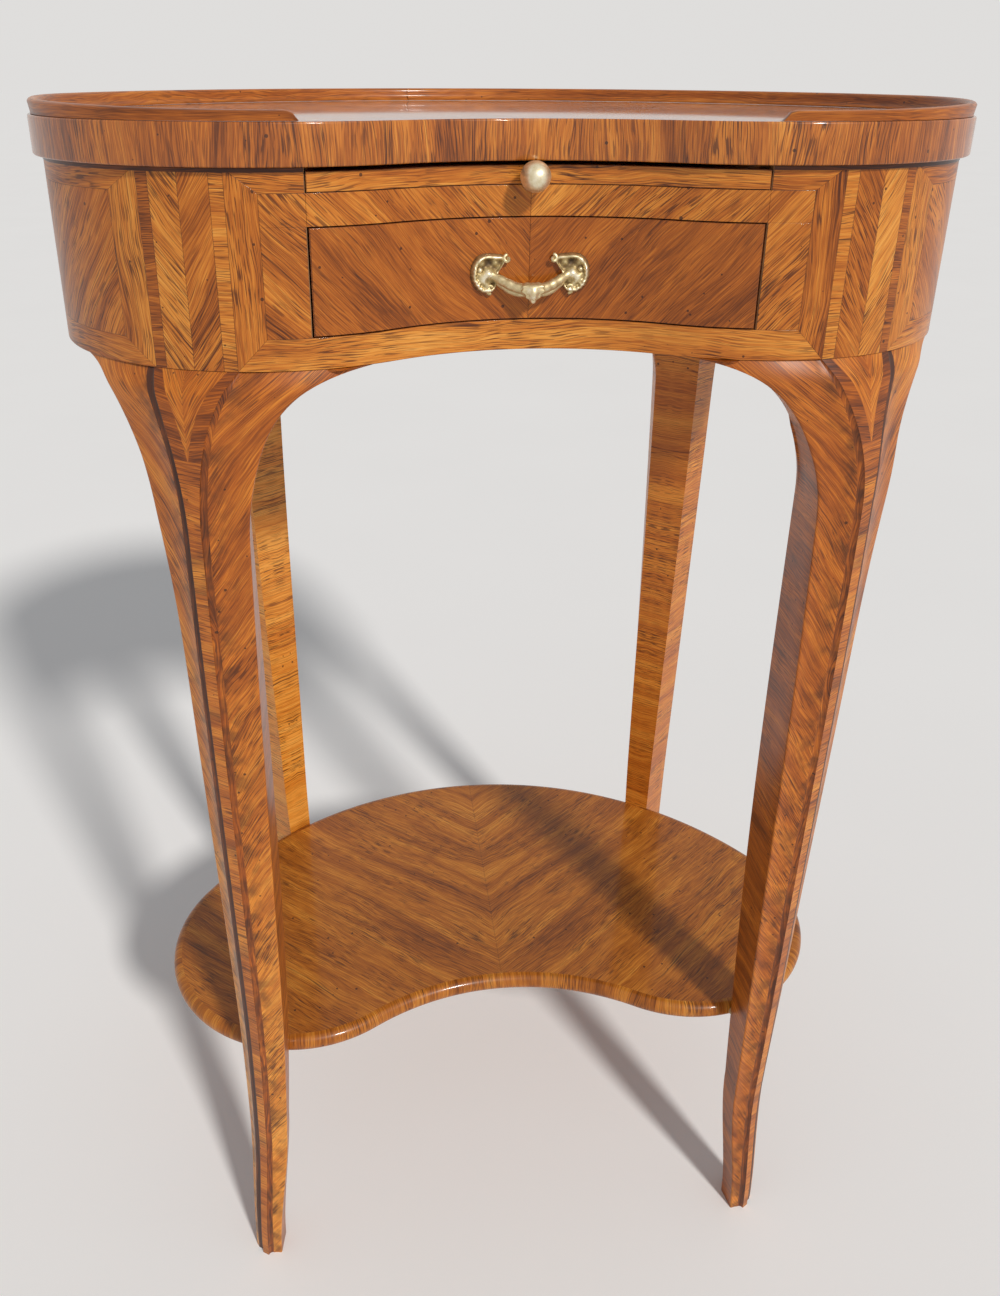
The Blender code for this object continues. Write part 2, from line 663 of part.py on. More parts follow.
def build_handle(parent, front, height):
    """Cast pull: two plates on the drawer front and a bow that swings out between them."""
    end = HANDLE_WIDTH / 2
    inner = end - PLATE_WIDTH
    rings = []
    stations = np.r_[np.linspace(-end, -inner, 9), np.linspace(-inner, inner, 17)[1:-1], np.linspace(inner, end, 9)]
    for x in stations:
        out = abs(x)
        if out >= inner:
            t = (out - inner) / PLATE_WIDTH
            tall = PLATE_HEIGHT / 2 * math.sqrt(max(0.02, 1 - (1.75 * t - 0.8) ** 2))
            tall = max(tall, BOW_HEIGHT / 2 * (1 - t))
            thick = PLATE_THICK / 2
            reach, sag = 0.0, 0.0
        else:
            t = 1 - out / inner
            tall = BOW_HEIGHT / 2 + (LEAF_HEIGHT - BOW_HEIGHT) / 2 * max(0.0, 1 - (out / (0.35 * inner)) ** 2)
            tall = ease(PLATE_HEIGHT * 0.28, tall, 4 * t)
            thick = ease(PLATE_THICK, BOW_THICK, 3 * t) / 2
            reach = ease(0.0, BOW_REACH, 1.7 * t)
            sag = ease(0.0, BOW_SAG, t)
        y = TOP.front(x, OVERHANG) - 2 * GAP - thick - reach
        ring = []
        for k in range(12):
            angle = 2 * math.pi * k / 12
            ring.append((x, y + thick * math.sin(angle), height - sag + tall * math.cos(angle)))
        rings.append(ring)
    handle = loft("handle", rings, BRASS, parent, smooth=True)
    for sign, hand in ((1, "right"), (-1, "left")):
        x = sign * (end - PLATE_WIDTH * 0.5)
        face = TOP.front(x, OVERHANG)
        head = 2 * GAP + PLATE_THICK + GAP
        square = (-x, TOP.front_y - face, 0.0)
        profile = [(-PIN_LENGTH, PIN_RADIUS), (head, PIN_RADIUS), (head, PIN_HEAD),
                   (head + 0.6 * PIN_HEAD, 0.8 * PIN_HEAD), (head + 0.9 * PIN_HEAD, 0.35 * PIN_HEAD)]
        turned("handle_pin_" + hand, profile, (x, face, height), square, BRASS, parent, sides=12)
        wide = PIN_RADIUS + BORE_PLAY
        bore = turned("pin_bore_" + hand, ((-PIN_LENGTH - BORE_PLAY, wide), (4 * PLATE_THICK, wide)),
                      (x, face, height), square, BRASS, parent, sides=12)
        cut(front, bore)
        cut(handle, bore)


def build_slide(parent):
    face = FRONT_FACE
    half = OPENING_HALF - SLIDE_PLAY
    inside = face + LIPPING
    outline = front_band(half, OVERHANG) + [(half, inside), (-half, inside)]
    lipping = prism("slide_lipping", outline, SLIDE_UNDER, SLIDE_TOP, CROSSBAND, parent)
    box("slide_board", (-half, half), (inside + GAP, face + SLIDE_DEPTH), (SLIDE_UNDER, SLIDE_TOP), KINGWOOD, parent)
    height = (SLIDE_UNDER + SLIDE_TOP) / 2
    profile = [(-SPIGOT_LENGTH, SPIGOT_RADIUS), (GAP, SPIGOT_RADIUS), (GAP, 1.25 * KNOB_NECK),
               (GAP + 0.4 * KNOB_COLLAR, 1.25 * KNOB_NECK), (KNOB_COLLAR, KNOB_NECK)]
    middle = KNOB_COLLAR + (KNOB_REACH - KNOB_COLLAR) * 0.52
    for angle in np.linspace(-58, 84, 9):
        rise = math.sin(math.radians(angle))
        span = (KNOB_REACH - middle) if rise > 0 else (middle - KNOB_COLLAR) / math.sin(math.radians(58))
        profile.append((middle + rise * span, KNOB_RADIUS * math.cos(math.radians(angle))))
    turned("slide_knob", profile, (0.0, face, height), (0, -1, 0), BRASS, parent, sides=20)
    wide = SPIGOT_RADIUS + BORE_PLAY
    bore = turned("knob_bore", ((-SPIGOT_LENGTH - BORE_PLAY, wide), (KNOB_REACH, wide)),
                  (0.0, face, height), (0, -1, 0), BRASS, parent, sides=12)
    cut(lipping, bore)


def joint_empty(name, place):
    item = bpy.data.objects.new(name, None)
    item.location = place
    bpy.context.scene.collection.objects.link(item)
    return item


def main():
    clear_scene()
    face = FRONT_FACE
    drawer = joint_empty("drawer_axis", (0.0, face, (DRAWER_FLOOR + DIVIDER_UNDER) / 2))
    slide = joint_empty("slide_axis", (0.0, face, (SLIDE_UNDER + SLIDE_TOP) / 2))
    front_leg = Leg(FRONT_LEG_X, FRONT_LEG_TURN, rear=False)
    rear_leg = Leg(REAR_LEG_X, REAR_LEG_TURN, rear=True)
    build_top()
    rail_rear = build_carcass(front_leg, rear_leg)
    build_runners(rail_rear)
    build_legs(front_leg, rear_leg)
    build_drawer(drawer)
    build_slide(slide)


main()
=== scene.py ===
"""Looks for the kidney table: veneered frieze and top, cabriole legs, undertier and brass."""
import math

import bmesh
import bpy
import numpy as np
from mathutils import Matrix


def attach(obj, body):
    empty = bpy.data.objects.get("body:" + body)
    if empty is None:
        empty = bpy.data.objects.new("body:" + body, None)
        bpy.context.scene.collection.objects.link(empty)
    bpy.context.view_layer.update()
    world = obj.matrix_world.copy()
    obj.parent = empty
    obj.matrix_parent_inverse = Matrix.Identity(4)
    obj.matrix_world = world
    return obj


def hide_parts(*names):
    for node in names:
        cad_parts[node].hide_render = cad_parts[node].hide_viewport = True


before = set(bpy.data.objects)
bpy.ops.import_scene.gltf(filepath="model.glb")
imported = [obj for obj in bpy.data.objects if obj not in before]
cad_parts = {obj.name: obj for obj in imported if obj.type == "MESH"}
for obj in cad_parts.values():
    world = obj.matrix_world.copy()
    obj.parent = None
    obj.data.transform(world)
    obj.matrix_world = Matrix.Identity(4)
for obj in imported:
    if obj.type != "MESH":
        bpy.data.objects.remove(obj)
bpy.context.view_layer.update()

# Sizes shared with the solids, in metres
TOP_WIDTH, TOP_DEPTH = 0.492, 0.338
FRONT_HOLLOW, LOBE_RADIUS = 0.0345, 0.120
TOP_HEIGHT = 0.735
TOP_UNDER = 0.7165
FRIEZE_INSET = 0.005
FRIEZE_TOP = 0.7162
FRIEZE_FOOT = 0.6258
DRAWER_FLOOR = 0.6408
DIVIDER_UNDER = 0.6909
DIVIDER_TOP = 0.7054
SLIDE_UNDER = 0.7057
SLIDE_TOP = 0.7143
FACE_Y = -0.1295
SHELF_WIDTH, SHELF_DEPTH = 0.469, 0.266
SHELF_HOLLOW, SHELF_LOBE, SHELF_MIDDLE = 0.0385, 0.096, -0.0055
SHELF_HEIGHT = 0.168
SHELF_THICK = 0.012
STILE_HALF = 0.025
STILE_DEPTH = 0.030

# How thick the veneer is, and how far its face stands off the frieze's solids
VENEER = 0.0003
PROUD = 0.00036

# Points closer than this are one point, and edges shorter than this are dropped
SAME_POINT, NO_EDGE = 3e-6, 1e-7


class Kidney:
    """Plan outline of tangent arcs: hollow front, two lobes and a bowed back.

    A place on it is run, the way round the edge from the middle of the front
    (right is positive, the back is reached at half), and off, the distance
    outside the edge. Each arc keeps its centre and changes its radius by off.
    """

    def __init__(self, width, depth, hollow, lobe, middle, inset=0.0):
        self.cx = width / 2 - lobe
        shift = middle - depth / 2
        reach = self.cx ** 2 + lobe ** 2
        back = (reach - (depth - lobe) ** 2) / (2 * (2 * lobe - depth))
        front = -(reach - (hollow + lobe) ** 2) / (2 * hollow)
        self.hollow = hollow - front + inset
        self.lobe = lobe - inset
        self.bow = depth - back - inset
        self.cy, self.back_y, self.front_y = lobe + shift, back + shift, front + shift
        self.front_turn = math.atan2(self.cy - self.front_y, self.cx)
        self.back_turn = math.atan2(self.cy - self.back_y, self.cx)
        self.first = self.hollow * (math.pi / 2 - self.front_turn)
        self.second = self.first + self.lobe * (math.pi + self.back_turn - self.front_turn)
        self.half = self.second + self.bow * (math.pi / 2 - self.back_turn)

    def at(self, run, off=0.0):
        """x and y at run and off, for whole arrays: a circle's point on the arc that run falls in."""
        run, off = np.broadcast_arrays(np.asarray(run, float), np.asarray(off, float))
        around = np.mod(run + self.half, 2 * self.half) - self.half
        way = np.abs(around)
        a = math.pi / 2 - way / self.hollow
        b = self.front_turn - math.pi + (way - self.first) / self.lobe
        c = self.back_turn + (way - self.second) / self.bow
        part = [way < self.first, way < self.second]
        x = np.select(part, [(self.hollow - off) * np.cos(a), self.cx + (self.lobe + off) * np.cos(b)],
                      (self.bow + off) * np.cos(c))
        y = np.select(part, [self.front_y + (self.hollow - off) * np.sin(a),
                             self.cy + (self.lobe + off) * np.sin(b)],
                      self.back_y + (self.bow + off) * np.sin(c))
        return np.where(around < 0, -x, x), y


TOP = Kidney(TOP_WIDTH, TOP_DEPTH, FRONT_HOLLOW, LOBE_RADIUS, 0.0)
FRIEZE = Kidney(TOP_WIDTH, TOP_DEPTH, FRONT_HOLLOW, LOBE_RADIUS, 0.0, inset=FRIEZE_INSET)
SHELF = Kidney(SHELF_WIDTH, SHELF_DEPTH, SHELF_HOLLOW, SHELF_LOBE, SHELF_MIDDLE)


def rise(t):
    """Smooth passage from 0 to 1."""
    t = np.clip(t, 0.0, 1.0)
    return t * t * (3 - 2 * t)


def bell(*ways):
    """Hump of height 1: e to the power of minus the sum of the squared ways from its middle."""
    return np.exp(-sum(way ** 2 for way in ways))


def even(count):
    """A row of count even shares from 0 to 1."""
    return np.linspace(0, 1, count)[None, :]


def circle(count):
    """A row of count angles once round."""
    return np.linspace(0, 2 * math.pi, count)[None, :]


def stack(x, y, z):
    """Points from x, y and z, each spread to one grid."""
    return np.stack(np.broadcast_arrays(x, y, z), -1).astype(float)


def turned(a, b, angle, seed):
    """Grain coordinates: along and across a grain that lies at angle in (a, b), moved on by seed."""
    c, s = math.cos(angle), math.sin(angle)
    along_step, across_step = 0.731, 0.417
    along, across = a * c + b * s + along_step * seed, b * c - a * s + across_step * seed
    return np.stack(np.broadcast_arrays(along, across), -1)


def grid_quads(rows, columns, start=0):
    """Corners of a grid's squares, for points that are numbered row by row from start."""
    index = np.arange(rows * columns).reshape(rows, columns) + start
    return np.stack([index[:-1, :-1], index[:-1, 1:], index[1:, 1:], index[1:, :-1]], -1).reshape(-1, 4)


def in_scene(name, data):
    """New object for data, linked into the scene."""
    item = bpy.data.objects.new(name, data)
    bpy.context.scene.collection.objects.link(item)
    return item


class Skin:
    """Mesh gathered from grids of points. Each grid carries its own grain and tone.

    The leaf colour holds the tone, the joint (1 on a leaf, less towards a dark joint) and the wax that has
    gathered; in the hollows beside the legs' strips that third part is painted shade.
    """

    def __init__(self):
        self.points, self.quads, self.grain, self.leaf = [], [], [], []
        self.count = 0

    def add(self, xyz, grain=0.0, tone=0.5, joint=1.0, flip=False, wax=0.0):
        """One grid of points, joined in squares; flip turns its faces over."""
        rows, columns = xyz.shape[:2]
        quad = grid_quads(rows, columns, self.count)
        self.quads.append(quad[:, ::-1] if flip else quad)
        self.points.append(xyz.reshape(-1, 3))
        self.grain.append(np.broadcast_to(grain, (rows, columns, 2)).reshape(-1, 2))
        look = np.ones((rows, columns, 4))
        look[..., 0] = tone
        look[..., 1] = joint
        look[..., 2] = wax
        self.leaf.append(look.reshape(-1, 4))
        self.count += rows * columns

    def cap(self, ring, grain=None, tone=0.5):
        """Fan from a ring to its middle."""
        grain = np.zeros((len(ring), 2)) if grain is None else grain
        grid = np.stack([ring, np.broadcast_to(ring.mean(0), ring.shape)])
        flat = np.stack([grain, np.broadcast_to(grain.mean(0), grain.shape)])
        self.add(grid, flat, tone)

    def piece(self, name, look, body, slot, replaces=(), closed=True, sharp=38.0, thick=0.0):
        """The grids as one merged mesh, smooth except at edges that turn by more than sharp degrees.

        A closed skin has its faces turned outwards; an open one gets its
        thickness inwards from the face.
        """
        points, quads = np.concatenate(self.points), np.concatenate(self.quads)
        mesh = bpy.data.meshes.new(name)
        mesh.from_pydata(points.tolist(), [], quads.tolist())
        corner = quads.ravel()
        grain = mesh.uv_layers.new(name="grain")
        grain.uv.foreach_set("vector", np.concatenate(self.grain)[corner].ravel())
        leaf = mesh.color_attributes.new("leaf", "FLOAT_COLOR", "CORNER")
        leaf.data.foreach_set("color", np.concatenate(self.leaf)[corner].ravel())
        bm = bmesh.new()
        bm.from_mesh(mesh)
        bmesh.ops.remove_doubles(bm, verts=bm.verts, dist=SAME_POINT)
        bmesh.ops.dissolve_degenerate(bm, edges=bm.edges, dist=NO_EDGE)
        if closed:
            bmesh.ops.recalc_face_normals(bm, faces=bm.faces)
        bm.to_mesh(mesh)
        bm.free()
        mesh.polygons.foreach_set("use_smooth", np.ones(len(mesh.polygons), bool))
        mesh.set_sharp_from_angle(angle=math.radians(sharp))
        item = in_scene(name, mesh)
        mesh.materials.append(look)
        if thick:
            shell = item.modifiers.new("thickness", "SOLIDIFY")
            shell.thickness = thick
            shell.offset = -1.0
        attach(item, body)
        if replaces:
            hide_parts(*replaces)
        return item


# Materials

class Nodes:
    """Short way to write a node tree."""

    def __init__(self, tree):
        self.tree = tree

    def node(self, kind, **values):
        item = self.tree.nodes.new(kind)
        for key, value in values.items():
            setattr(item, key, value)
        return item

    def put(self, socket, value):
        """A link where value is a socket, or else a plain value."""
        if isinstance(value, bpy.types.NodeSocket):
            self.tree.links.new(value, socket)
        else:
            socket.default_value = value

    def fill(self, item, **values):
        """Values or links for a node's named inputs, with low lines for the spaces in their names."""
        for key, value in values.items():
            self.put(item.inputs[key.replace("_", " ")], value)
        return item

    def math(self, operation, *values, clamp=False):
        item = self.node("ShaderNodeMath", operation=operation, use_clamp=clamp)
        for socket, value in zip(item.inputs, values):
            self.put(socket, value)
        return item.outputs[0]

    def plus(self, a, b, clamp=False):
        return self.math("ADD", a, b, clamp=clamp)

    def minus(self, a, b):
        return self.math("SUBTRACT", a, b)

    def times(self, a, b, clamp=False):
        return self.math("MULTIPLY", a, b, clamp=clamp)

    def swing(self, value, amount):
        """A noise's way from its middle, times amount."""
        return self.times(self.minus(value, 0.5), amount)

    def near_middle(self, value, width):
        """Thin lines: 1 where a noise is at its middle, and 0 from width away."""
        return self.spread(self.math("ABSOLUTE", self.minus(value, 0.5)), 0.0, width, 1.0, 0.0)

    def scaled(self, vector, along, across):
        item = self.node("ShaderNodeVectorMath", operation="MULTIPLY")
        self.put(item.inputs[0], vector)
        self.put(item.inputs[1], (along, across, 1.0))
        return item.outputs[0]

    def moved_across(self, vector, by):
        """A vector with its second part moved on."""
        shift = self.fill(self.node("ShaderNodeCombineXYZ"), Y=by)
        item = self.node("ShaderNodeVectorMath", operation="ADD")
        self.put(item.inputs[0], vector)
        self.put(item.inputs[1], shift.outputs[0])
        return item.outputs[0]

    def noise(self, vector, scale=1.0, detail=2.0, rough=0.5, dims="2D"):
        item = self.node("ShaderNodeTexNoise", noise_dimensions=dims)
        self.fill(item, Vector=vector, Scale=scale, Detail=detail, Roughness=rough)
        return item.outputs["Fac"]

    def spread(self, value, low, high, to_low=0.0, to_high=1.0):
        """Value taken from the range low to high over to the range to_low to to_high."""
        item = self.node("ShaderNodeMapRange", clamp=True)
        for socket, number in zip(item.inputs, (value, low, high, to_low, to_high)):
            self.put(socket, number)
        return item.outputs[0]

    def ramp(self, value, stops):
        item = self.node("ShaderNodeValToRGB")
        band = item.color_ramp
        while len(band.elements) < len(stops):
            band.elements.new(0.5)
        for element, (place, colour) in zip(band.elements, stops):
            element.position = place
            element.color = (*colour, 1.0)
        self.put(item.inputs[0], value)
        return item.outputs[0]

    def mix(self, share, a, b, blend="MIX"):
        item = self.node("ShaderNodeMix", data_type="RGBA", blend_type=blend)
        self.put(item.inputs[0], share)
        for socket, value in ((item.inputs[6], a), (item.inputs[7], b)):
            self.put(socket, value if isinstance(value, bpy.types.NodeSocket) else (*value, 1.0))
        return item.outputs[2]

    def parts(self, colour):
        """The three parts of a colour."""
        item = self.node("ShaderNodeSeparateColor")
        self.put(item.inputs[0], colour)
        return item.outputs

    def leaf_parts(self):
        """Tone, joint, and wax with painted shade, of the leaf."""
        return self.parts(self.node("ShaderNodeVertexColor", layer_name="leaf").outputs["Color"])

    def bumped(self, height, strength, distance):
        item = self.fill(self.node("ShaderNodeBump"), Strength=strength, Distance=distance, Height=height)
        return item.outputs[0]


def new_look(name):
    """New material, the short way to write its nodes, and its shader."""
    look = bpy.data.materials.new(name)
    look.use_nodes = True
    return look, Nodes(look.node_tree), look.node_tree.nodes["Principled BSDF"]


# Colours of the veneer from its darkest to its palest stripe
KINGWOOD_STOPS = ((0.0, (0.055, 0.012, 0.002)), (0.22, (0.19, 0.045, 0.005)), (0.42, (0.39, 0.102, 0.010)),
                  (0.60, (0.56, 0.178, 0.020)), (0.80, (0.70, 0.280, 0.042)), (1.0, (0.80, 0.39, 0.09)))
THREAD_COLOUR, DASH_COLOUR = (0.070, 0.016, 0.004), (0.075, 0.017, 0.004)
HOLE_COLOUR, CRACK_COLOUR = (0.030, 0.010, 0.005), (0.045, 0.014, 0.006)
# the wax colour also paints shade in the hollows beside the legs' strips
JOINT_COLOUR, WAX_AND_SHADE_COLOUR = (0.035, 0.012, 0.006), (0.055, 0.018, 0.006)

# Marks of the veneer: how many come to the metre, along and across the grain
WANDER, SHAKE = (9, 22), (45, 130)
BROAD_STRIPES, FINE_STRIPES, FIBRES, CLOUDS = (6, 90), (14, 800), (70, 2400), (11, 42)
THREAD_GROUPS, THREADS = (9, 48), (11, 430)
DASHES, DASH_PATCHES = (90, 1700), (22, 36)
CRACKS, CRACK_PLACES = (7, 150), (16, 20)
HOLES, WAX_AND_SHADE_BLOTS = 85.0, 95.0

# How far the grain wanders and shakes, in metres, and how much each mark lightens or darkens the tone
WANDER_REACH, SHAKE_REACH = 0.014, 0.0015
BROAD_TONE, FINE_TONE, CLOUD_TONE, FIBRE_TONE = 0.52, 0.44, 0.30, 0.52
THREAD_SHARE, DASH_SHARE, HOLE_SHARE, CRACK_SHARE, JOINT_SHARE, WAX_AND_SHADE_SHARE = 0.86, 0.70, 0.8, 0.7, 0.85, 0.62


def veneer_group():
    """Striped veneer: soft stripes along the grain, thin dark threads in groups, dashes, specks and cracks.

    Takes grain coordinates in metres, along and across, and a tone. Puts out
    colour, a bump height and roughness. The tone plus stretched noises picks
    the colour, and thin bands of other noises lay the dark marks over it.
    """
    tree = bpy.data.node_groups.new("striped_veneer", "ShaderNodeTree")
    for name, way, kind in (("Grain", "INPUT", "Vector"), ("Tone", "INPUT", "Float"),
                            ("Stripe", "INPUT", "Float"), ("Colour", "OUTPUT", "Color"),
                            ("Height", "OUTPUT", "Float"), ("Roughness", "OUTPUT", "Float")):
        tree.interface.new_socket(name, in_out=way, socket_type="NodeSocket" + kind)
    n = Nodes(tree)
    given, out = n.node("NodeGroupInput"), n.node("NodeGroupOutput")
    grain, strength = given.outputs["Grain"], given.outputs["Stripe"]

    # the grain wanders a few millimetres from a straight line
    drift = n.noise(n.scaled(grain, *WANDER), detail=2.0)
    shake = n.noise(n.scaled(grain, *SHAKE), detail=1.0)
    line = n.moved_across(grain, n.plus(n.swing(drift, WANDER_REACH), n.swing(shake, SHAKE_REACH)))

    broad = n.noise(n.scaled(line, *BROAD_STRIPES), detail=2.0, rough=0.55)
    stripe = n.noise(n.scaled(line, *FINE_STRIPES), detail=2.0, rough=0.6)
    fibre = n.noise(n.scaled(line, *FIBRES), detail=2.0)
    cloud = n.noise(n.scaled(grain, *CLOUDS), detail=3.0)
    lines = n.times(n.plus(n.swing(broad, BROAD_TONE), n.swing(stripe, FINE_TONE)), strength)
    level = n.plus(given.outputs["Tone"], lines)
    level = n.plus(level, n.plus(n.swing(cloud, CLOUD_TONE), n.swing(fibre, FIBRE_TONE)))
    colour = n.ramp(level, KINGWOOD_STOPS)

    # thin dark threads that keep together in groups, and short open dashes in patches
    group = n.spread(n.noise(n.scaled(line, *THREAD_GROUPS), detail=1.0), 0.44, 0.62)
    thread = n.near_middle(n.noise(n.scaled(line, *THREADS), detail=1.0), 0.040)
    thread = n.times(n.times(thread, group), strength)
    colour = n.mix(n.times(thread, THREAD_SHARE, clamp=True), colour, THREAD_COLOUR)
    dash = n.spread(n.noise(n.scaled(line, *DASHES), detail=0.0), 0.59, 0.66)
    patch = n.spread(n.noise(n.scaled(grain, *DASH_PATCHES), detail=1.0), 0.40, 0.62, 0.34, 1.0)
    dash = n.times(n.times(dash, patch), strength)
    colour = n.mix(n.times(dash, DASH_SHARE, clamp=True), colour, DASH_COLOUR)

    # filled worm holes and bruises
    cells = n.node("ShaderNodeTexVoronoi", voronoi_dimensions="2D", feature="F1")
    n.fill(cells, Vector=grain, Scale=HOLES)
    size = n.times(n.spread(n.parts(cells.outputs["Color"])[0], 0.72, 1.0), 0.075)
    speck = n.math("LESS_THAN", cells.outputs["Distance"], size)
    colour = n.mix(n.times(speck, HOLE_SHARE), colour, HOLE_COLOUR)

    # hairline cracks along the grain
    crack = n.near_middle(n.noise(n.scaled(line, *CRACKS), detail=3.0, rough=0.65), 0.010)
    where = n.spread(n.noise(n.scaled(grain, *CRACK_PLACES), detail=1.0), 0.60, 0.68)
    crack = n.times(crack, where)
    colour = n.mix(n.times(crack, CRACK_SHARE), colour, CRACK_COLOUR)

    height = n.plus(n.times(fibre, 0.35), n.times(cloud, 0.5))
    height = n.minus(height, n.times(n.plus(dash, n.plus(crack, speck)), 0.4))
    dull = n.spread(n.plus(fibre, cloud), 0.6, 1.4, 0.30, 0.46)
    n.fill(out, Colour=colour, Height=height, Roughness=dull)
    return tree


VENEER_GROUP = veneer_group()


def polished(name, stripe=1.0, coat=0.26, tint=(1.0, 1.0, 1.0), gloss=0.10):
    """French-polished veneer, read from the leaf's own grain and tone.

    tint multiplies the colour, coat is the polish's strength and gloss its roughness.
    """
    look, n, shader = new_look(name)
    where = n.node("ShaderNodeUVMap", uv_map="grain").outputs[0]
    tone, joint, wax = n.leaf_parts()
    wood = n.node("ShaderNodeGroup", node_tree=VENEER_GROUP)
    n.fill(wood, Grain=where, Tone=tone, Stripe=stripe)
    colour = n.mix(n.times(n.minus(1.0, joint), JOINT_SHARE), wood.outputs["Colour"], JOINT_COLOUR)
    # old wax gathers in blots beside the raised strips, and the same blots darken the hollows beside them as
    # painted shade
    blots = n.spread(n.noise(where, WAX_AND_SHADE_BLOTS, 3.0), 0.42, 0.66)
    colour = n.mix(n.times(n.times(blots, wax), WAX_AND_SHADE_SHARE), colour, WAX_AND_SHADE_COLOUR)
    n.fill(shader, Base_Color=n.mix(1.0, colour, tint, "MULTIPLY"), Roughness=wood.outputs["Roughness"],
           Normal=n.bumped(wood.outputs["Height"], 0.10, 0.0004), Specular_IOR_Level=0.22,
           Coat_Weight=coat, Coat_Roughness=gloss)
    return look


def laid_along(n, axis):
    """Object coordinates as grain coordinates: axis along, the other two joined across."""
    place = n.node("ShaderNodeTexCoord").outputs["Object"]
    split = n.node("ShaderNodeSeparateXYZ")
    n.put(split.inputs[0], place)
    x, y, z = split.outputs
    along, side, up = {"x": (x, y, z), "y": (y, x, z)}[axis]
    join = n.node("ShaderNodeCombineXYZ")
    n.fill(join, X=along, Y=n.plus(side, n.times(up, 0.83)))
    return place, join.outputs[0]


def finish_board(n, shader, colour, dull, height, coat):
    """Colour, roughness, fine relief and polish of a plain board."""
    n.fill(shader, Base_Color=colour, Roughness=dull, Normal=n.bumped(height, 0.2, 0.0004),
           Coat_Weight=coat, Coat_Roughness=0.12)


def polished_board(name, axis, coat, tone, stripe=0.6):
    """Plain board in the veneer's colours, with its grain along axis."""
    look, n, shader = new_look(name)
    wood = n.node("ShaderNodeGroup", node_tree=VENEER_GROUP)
    n.fill(wood, Grain=laid_along(n, axis)[1], Tone=tone, Stripe=stripe)
    finish_board(n, shader, wood.outputs["Colour"], wood.outputs["Roughness"], wood.outputs["Height"], coat)
    return look


def bare_board(name, stops, axis):
    """Unpolished board with its grain along axis: wandering rings, pores and grime pick from the stops."""
    look, n, shader = new_look(name)
    place, grain = laid_along(n, axis)
    line = n.moved_across(grain, n.times(n.noise(n.scaled(grain, 5, 14)), 0.010))
    ring = n.noise(n.scaled(line, 3, 190), detail=3.0, rough=0.6)
    pore = n.noise(n.scaled(line, 90, 2600), detail=2.0)
    grime = n.noise(place, 22.0, 3.0, dims="3D")
    level = n.plus(n.times(ring, 0.7), n.times(pore, 0.3))
    level = n.plus(level, n.swing(grime, 0.5))
    finish_board(n, shader, n.ramp(level, stops), n.spread(pore, 0.3, 0.7, 0.55, 0.75), pore, 0.0)
    return look


# Colours of the brass from its tarnished hollows to its worn heights
BRASS_STOPS = ((0.0, (0.055, 0.032, 0.014)), (0.30, (0.22, 0.145, 0.065)), (0.55, (0.49, 0.375, 0.18)),
               (0.80, (0.70, 0.58, 0.345)), (1.0, (0.90, 0.81, 0.60)))


def aged_brass(name):
    """Pale worn brass: bright on the high places, brown wax and tarnish in the hollows."""
    look, n, shader = new_look(name)
    place = n.node("ShaderNodeTexCoord").outputs["Object"]
    cloud = n.noise(place, 420.0, 4.0, 0.6, dims="3D")
    grit = n.noise(place, 2400.0, 2.0, dims="3D")
    high = n.plus(n.leaf_parts()[0], n.swing(cloud, 0.7), clamp=True)
    dull = n.spread(n.plus(grit, n.minus(1.0, high)), 0.5, 1.6, 0.36, 0.64)
    relief = n.plus(n.times(cloud, 0.7), n.times(grit, 0.3))
    n.fill(shader, Base_Color=n.ramp(high, BRASS_STOPS), Metallic=n.spread(high, 0.05, 0.4, 0.40, 0.82),
           Roughness=dull, Normal=n.bumped(relief, 0.25, 0.0003))
    return look


KINGWOOD = polished("frieze_polish", stripe=1.12)
GALLERY_KINGWOOD = polished("gallery_polish", stripe=0.8)
LEG_KINGWOOD = polished("leg_polish", stripe=1.05, coat=0.36, gloss=0.32, tint=(1.02, 0.95, 0.75))
TOP_KINGWOOD = polished("top_polish", stripe=1.15, coat=0.75, gloss=0.045)
DRAWER_KINGWOOD = polished("drawer_front_polish", stripe=0.70)
SHELF_KINGWOOD = polished("undertier_polish", stripe=1.0, tint=(0.97, 1.10, 1.20))
BRASS = aged_brass("aged_brass_cast")
LINING_STOPS = ((0.25, (0.30, 0.17, 0.07)), (0.5, (0.44, 0.27, 0.125)), (0.75, (0.56, 0.37, 0.19)))
CORE_STOPS = ((0.25, (0.20, 0.09, 0.032)), (0.5, (0.31, 0.15, 0.06)), (0.75, (0.40, 0.21, 0.09)))


# Frieze veneers, with places in mm: runs from the middle of the front, and heights

FOOT, HEAD = 1000 * FRIEZE_FOOT, 1000 * FRIEZE_TOP
RAIL, RAIL_HEAD = 1000 * DRAWER_FLOOR, 1000 * DIVIDER_TOP
DIVIDER = 1000 * DIVIDER_UNDER
BAND = 638.8
DRAWER_HALF, DRAWER_FOOT, DRAWER_HEAD = 111.0, 641.5, 690.2
SLIDE_HALF, SLIDE_GAP = 111.5, 0.1
OPENING, FRONT_BAND = 112.6, 133.0
DIVIDER_END, FIELD_START = 112.2, 112.25
FRONT_STILE, FRONT_PAIR, FRONT_PAIR_MID, FRONT_PAIR_END, SIDE_BAND = 147.5, 154.0, 168.5, 183.0, 189.0
SIDE_START, SIDE_MID, SIDE_END = 206.0, 331.3, 456.6
REAR_STILE, REAR_PAIR, REAR_PAIR_MID, REAR_PAIR_END, BACK_BAND = 473.1, 479.1, 493.6, 508.1, 514.1
BACK_START, BACK_MID = 530.6, 1000 * FRIEZE.half
# height in mm of the dark strip of painted shadow under the top
OVERHANG_SHADOW_LINE = 2.0

# A leaf's border in metres, the steps of its grid along and up, and how dark its joints are
LEAF_GAP, LEAF_BORDER = 0.00003, 0.00020
LEAF_STEP, LEAF_STEP_UP = 0.0035, 0.011
LEAF_JOINT = 0.35


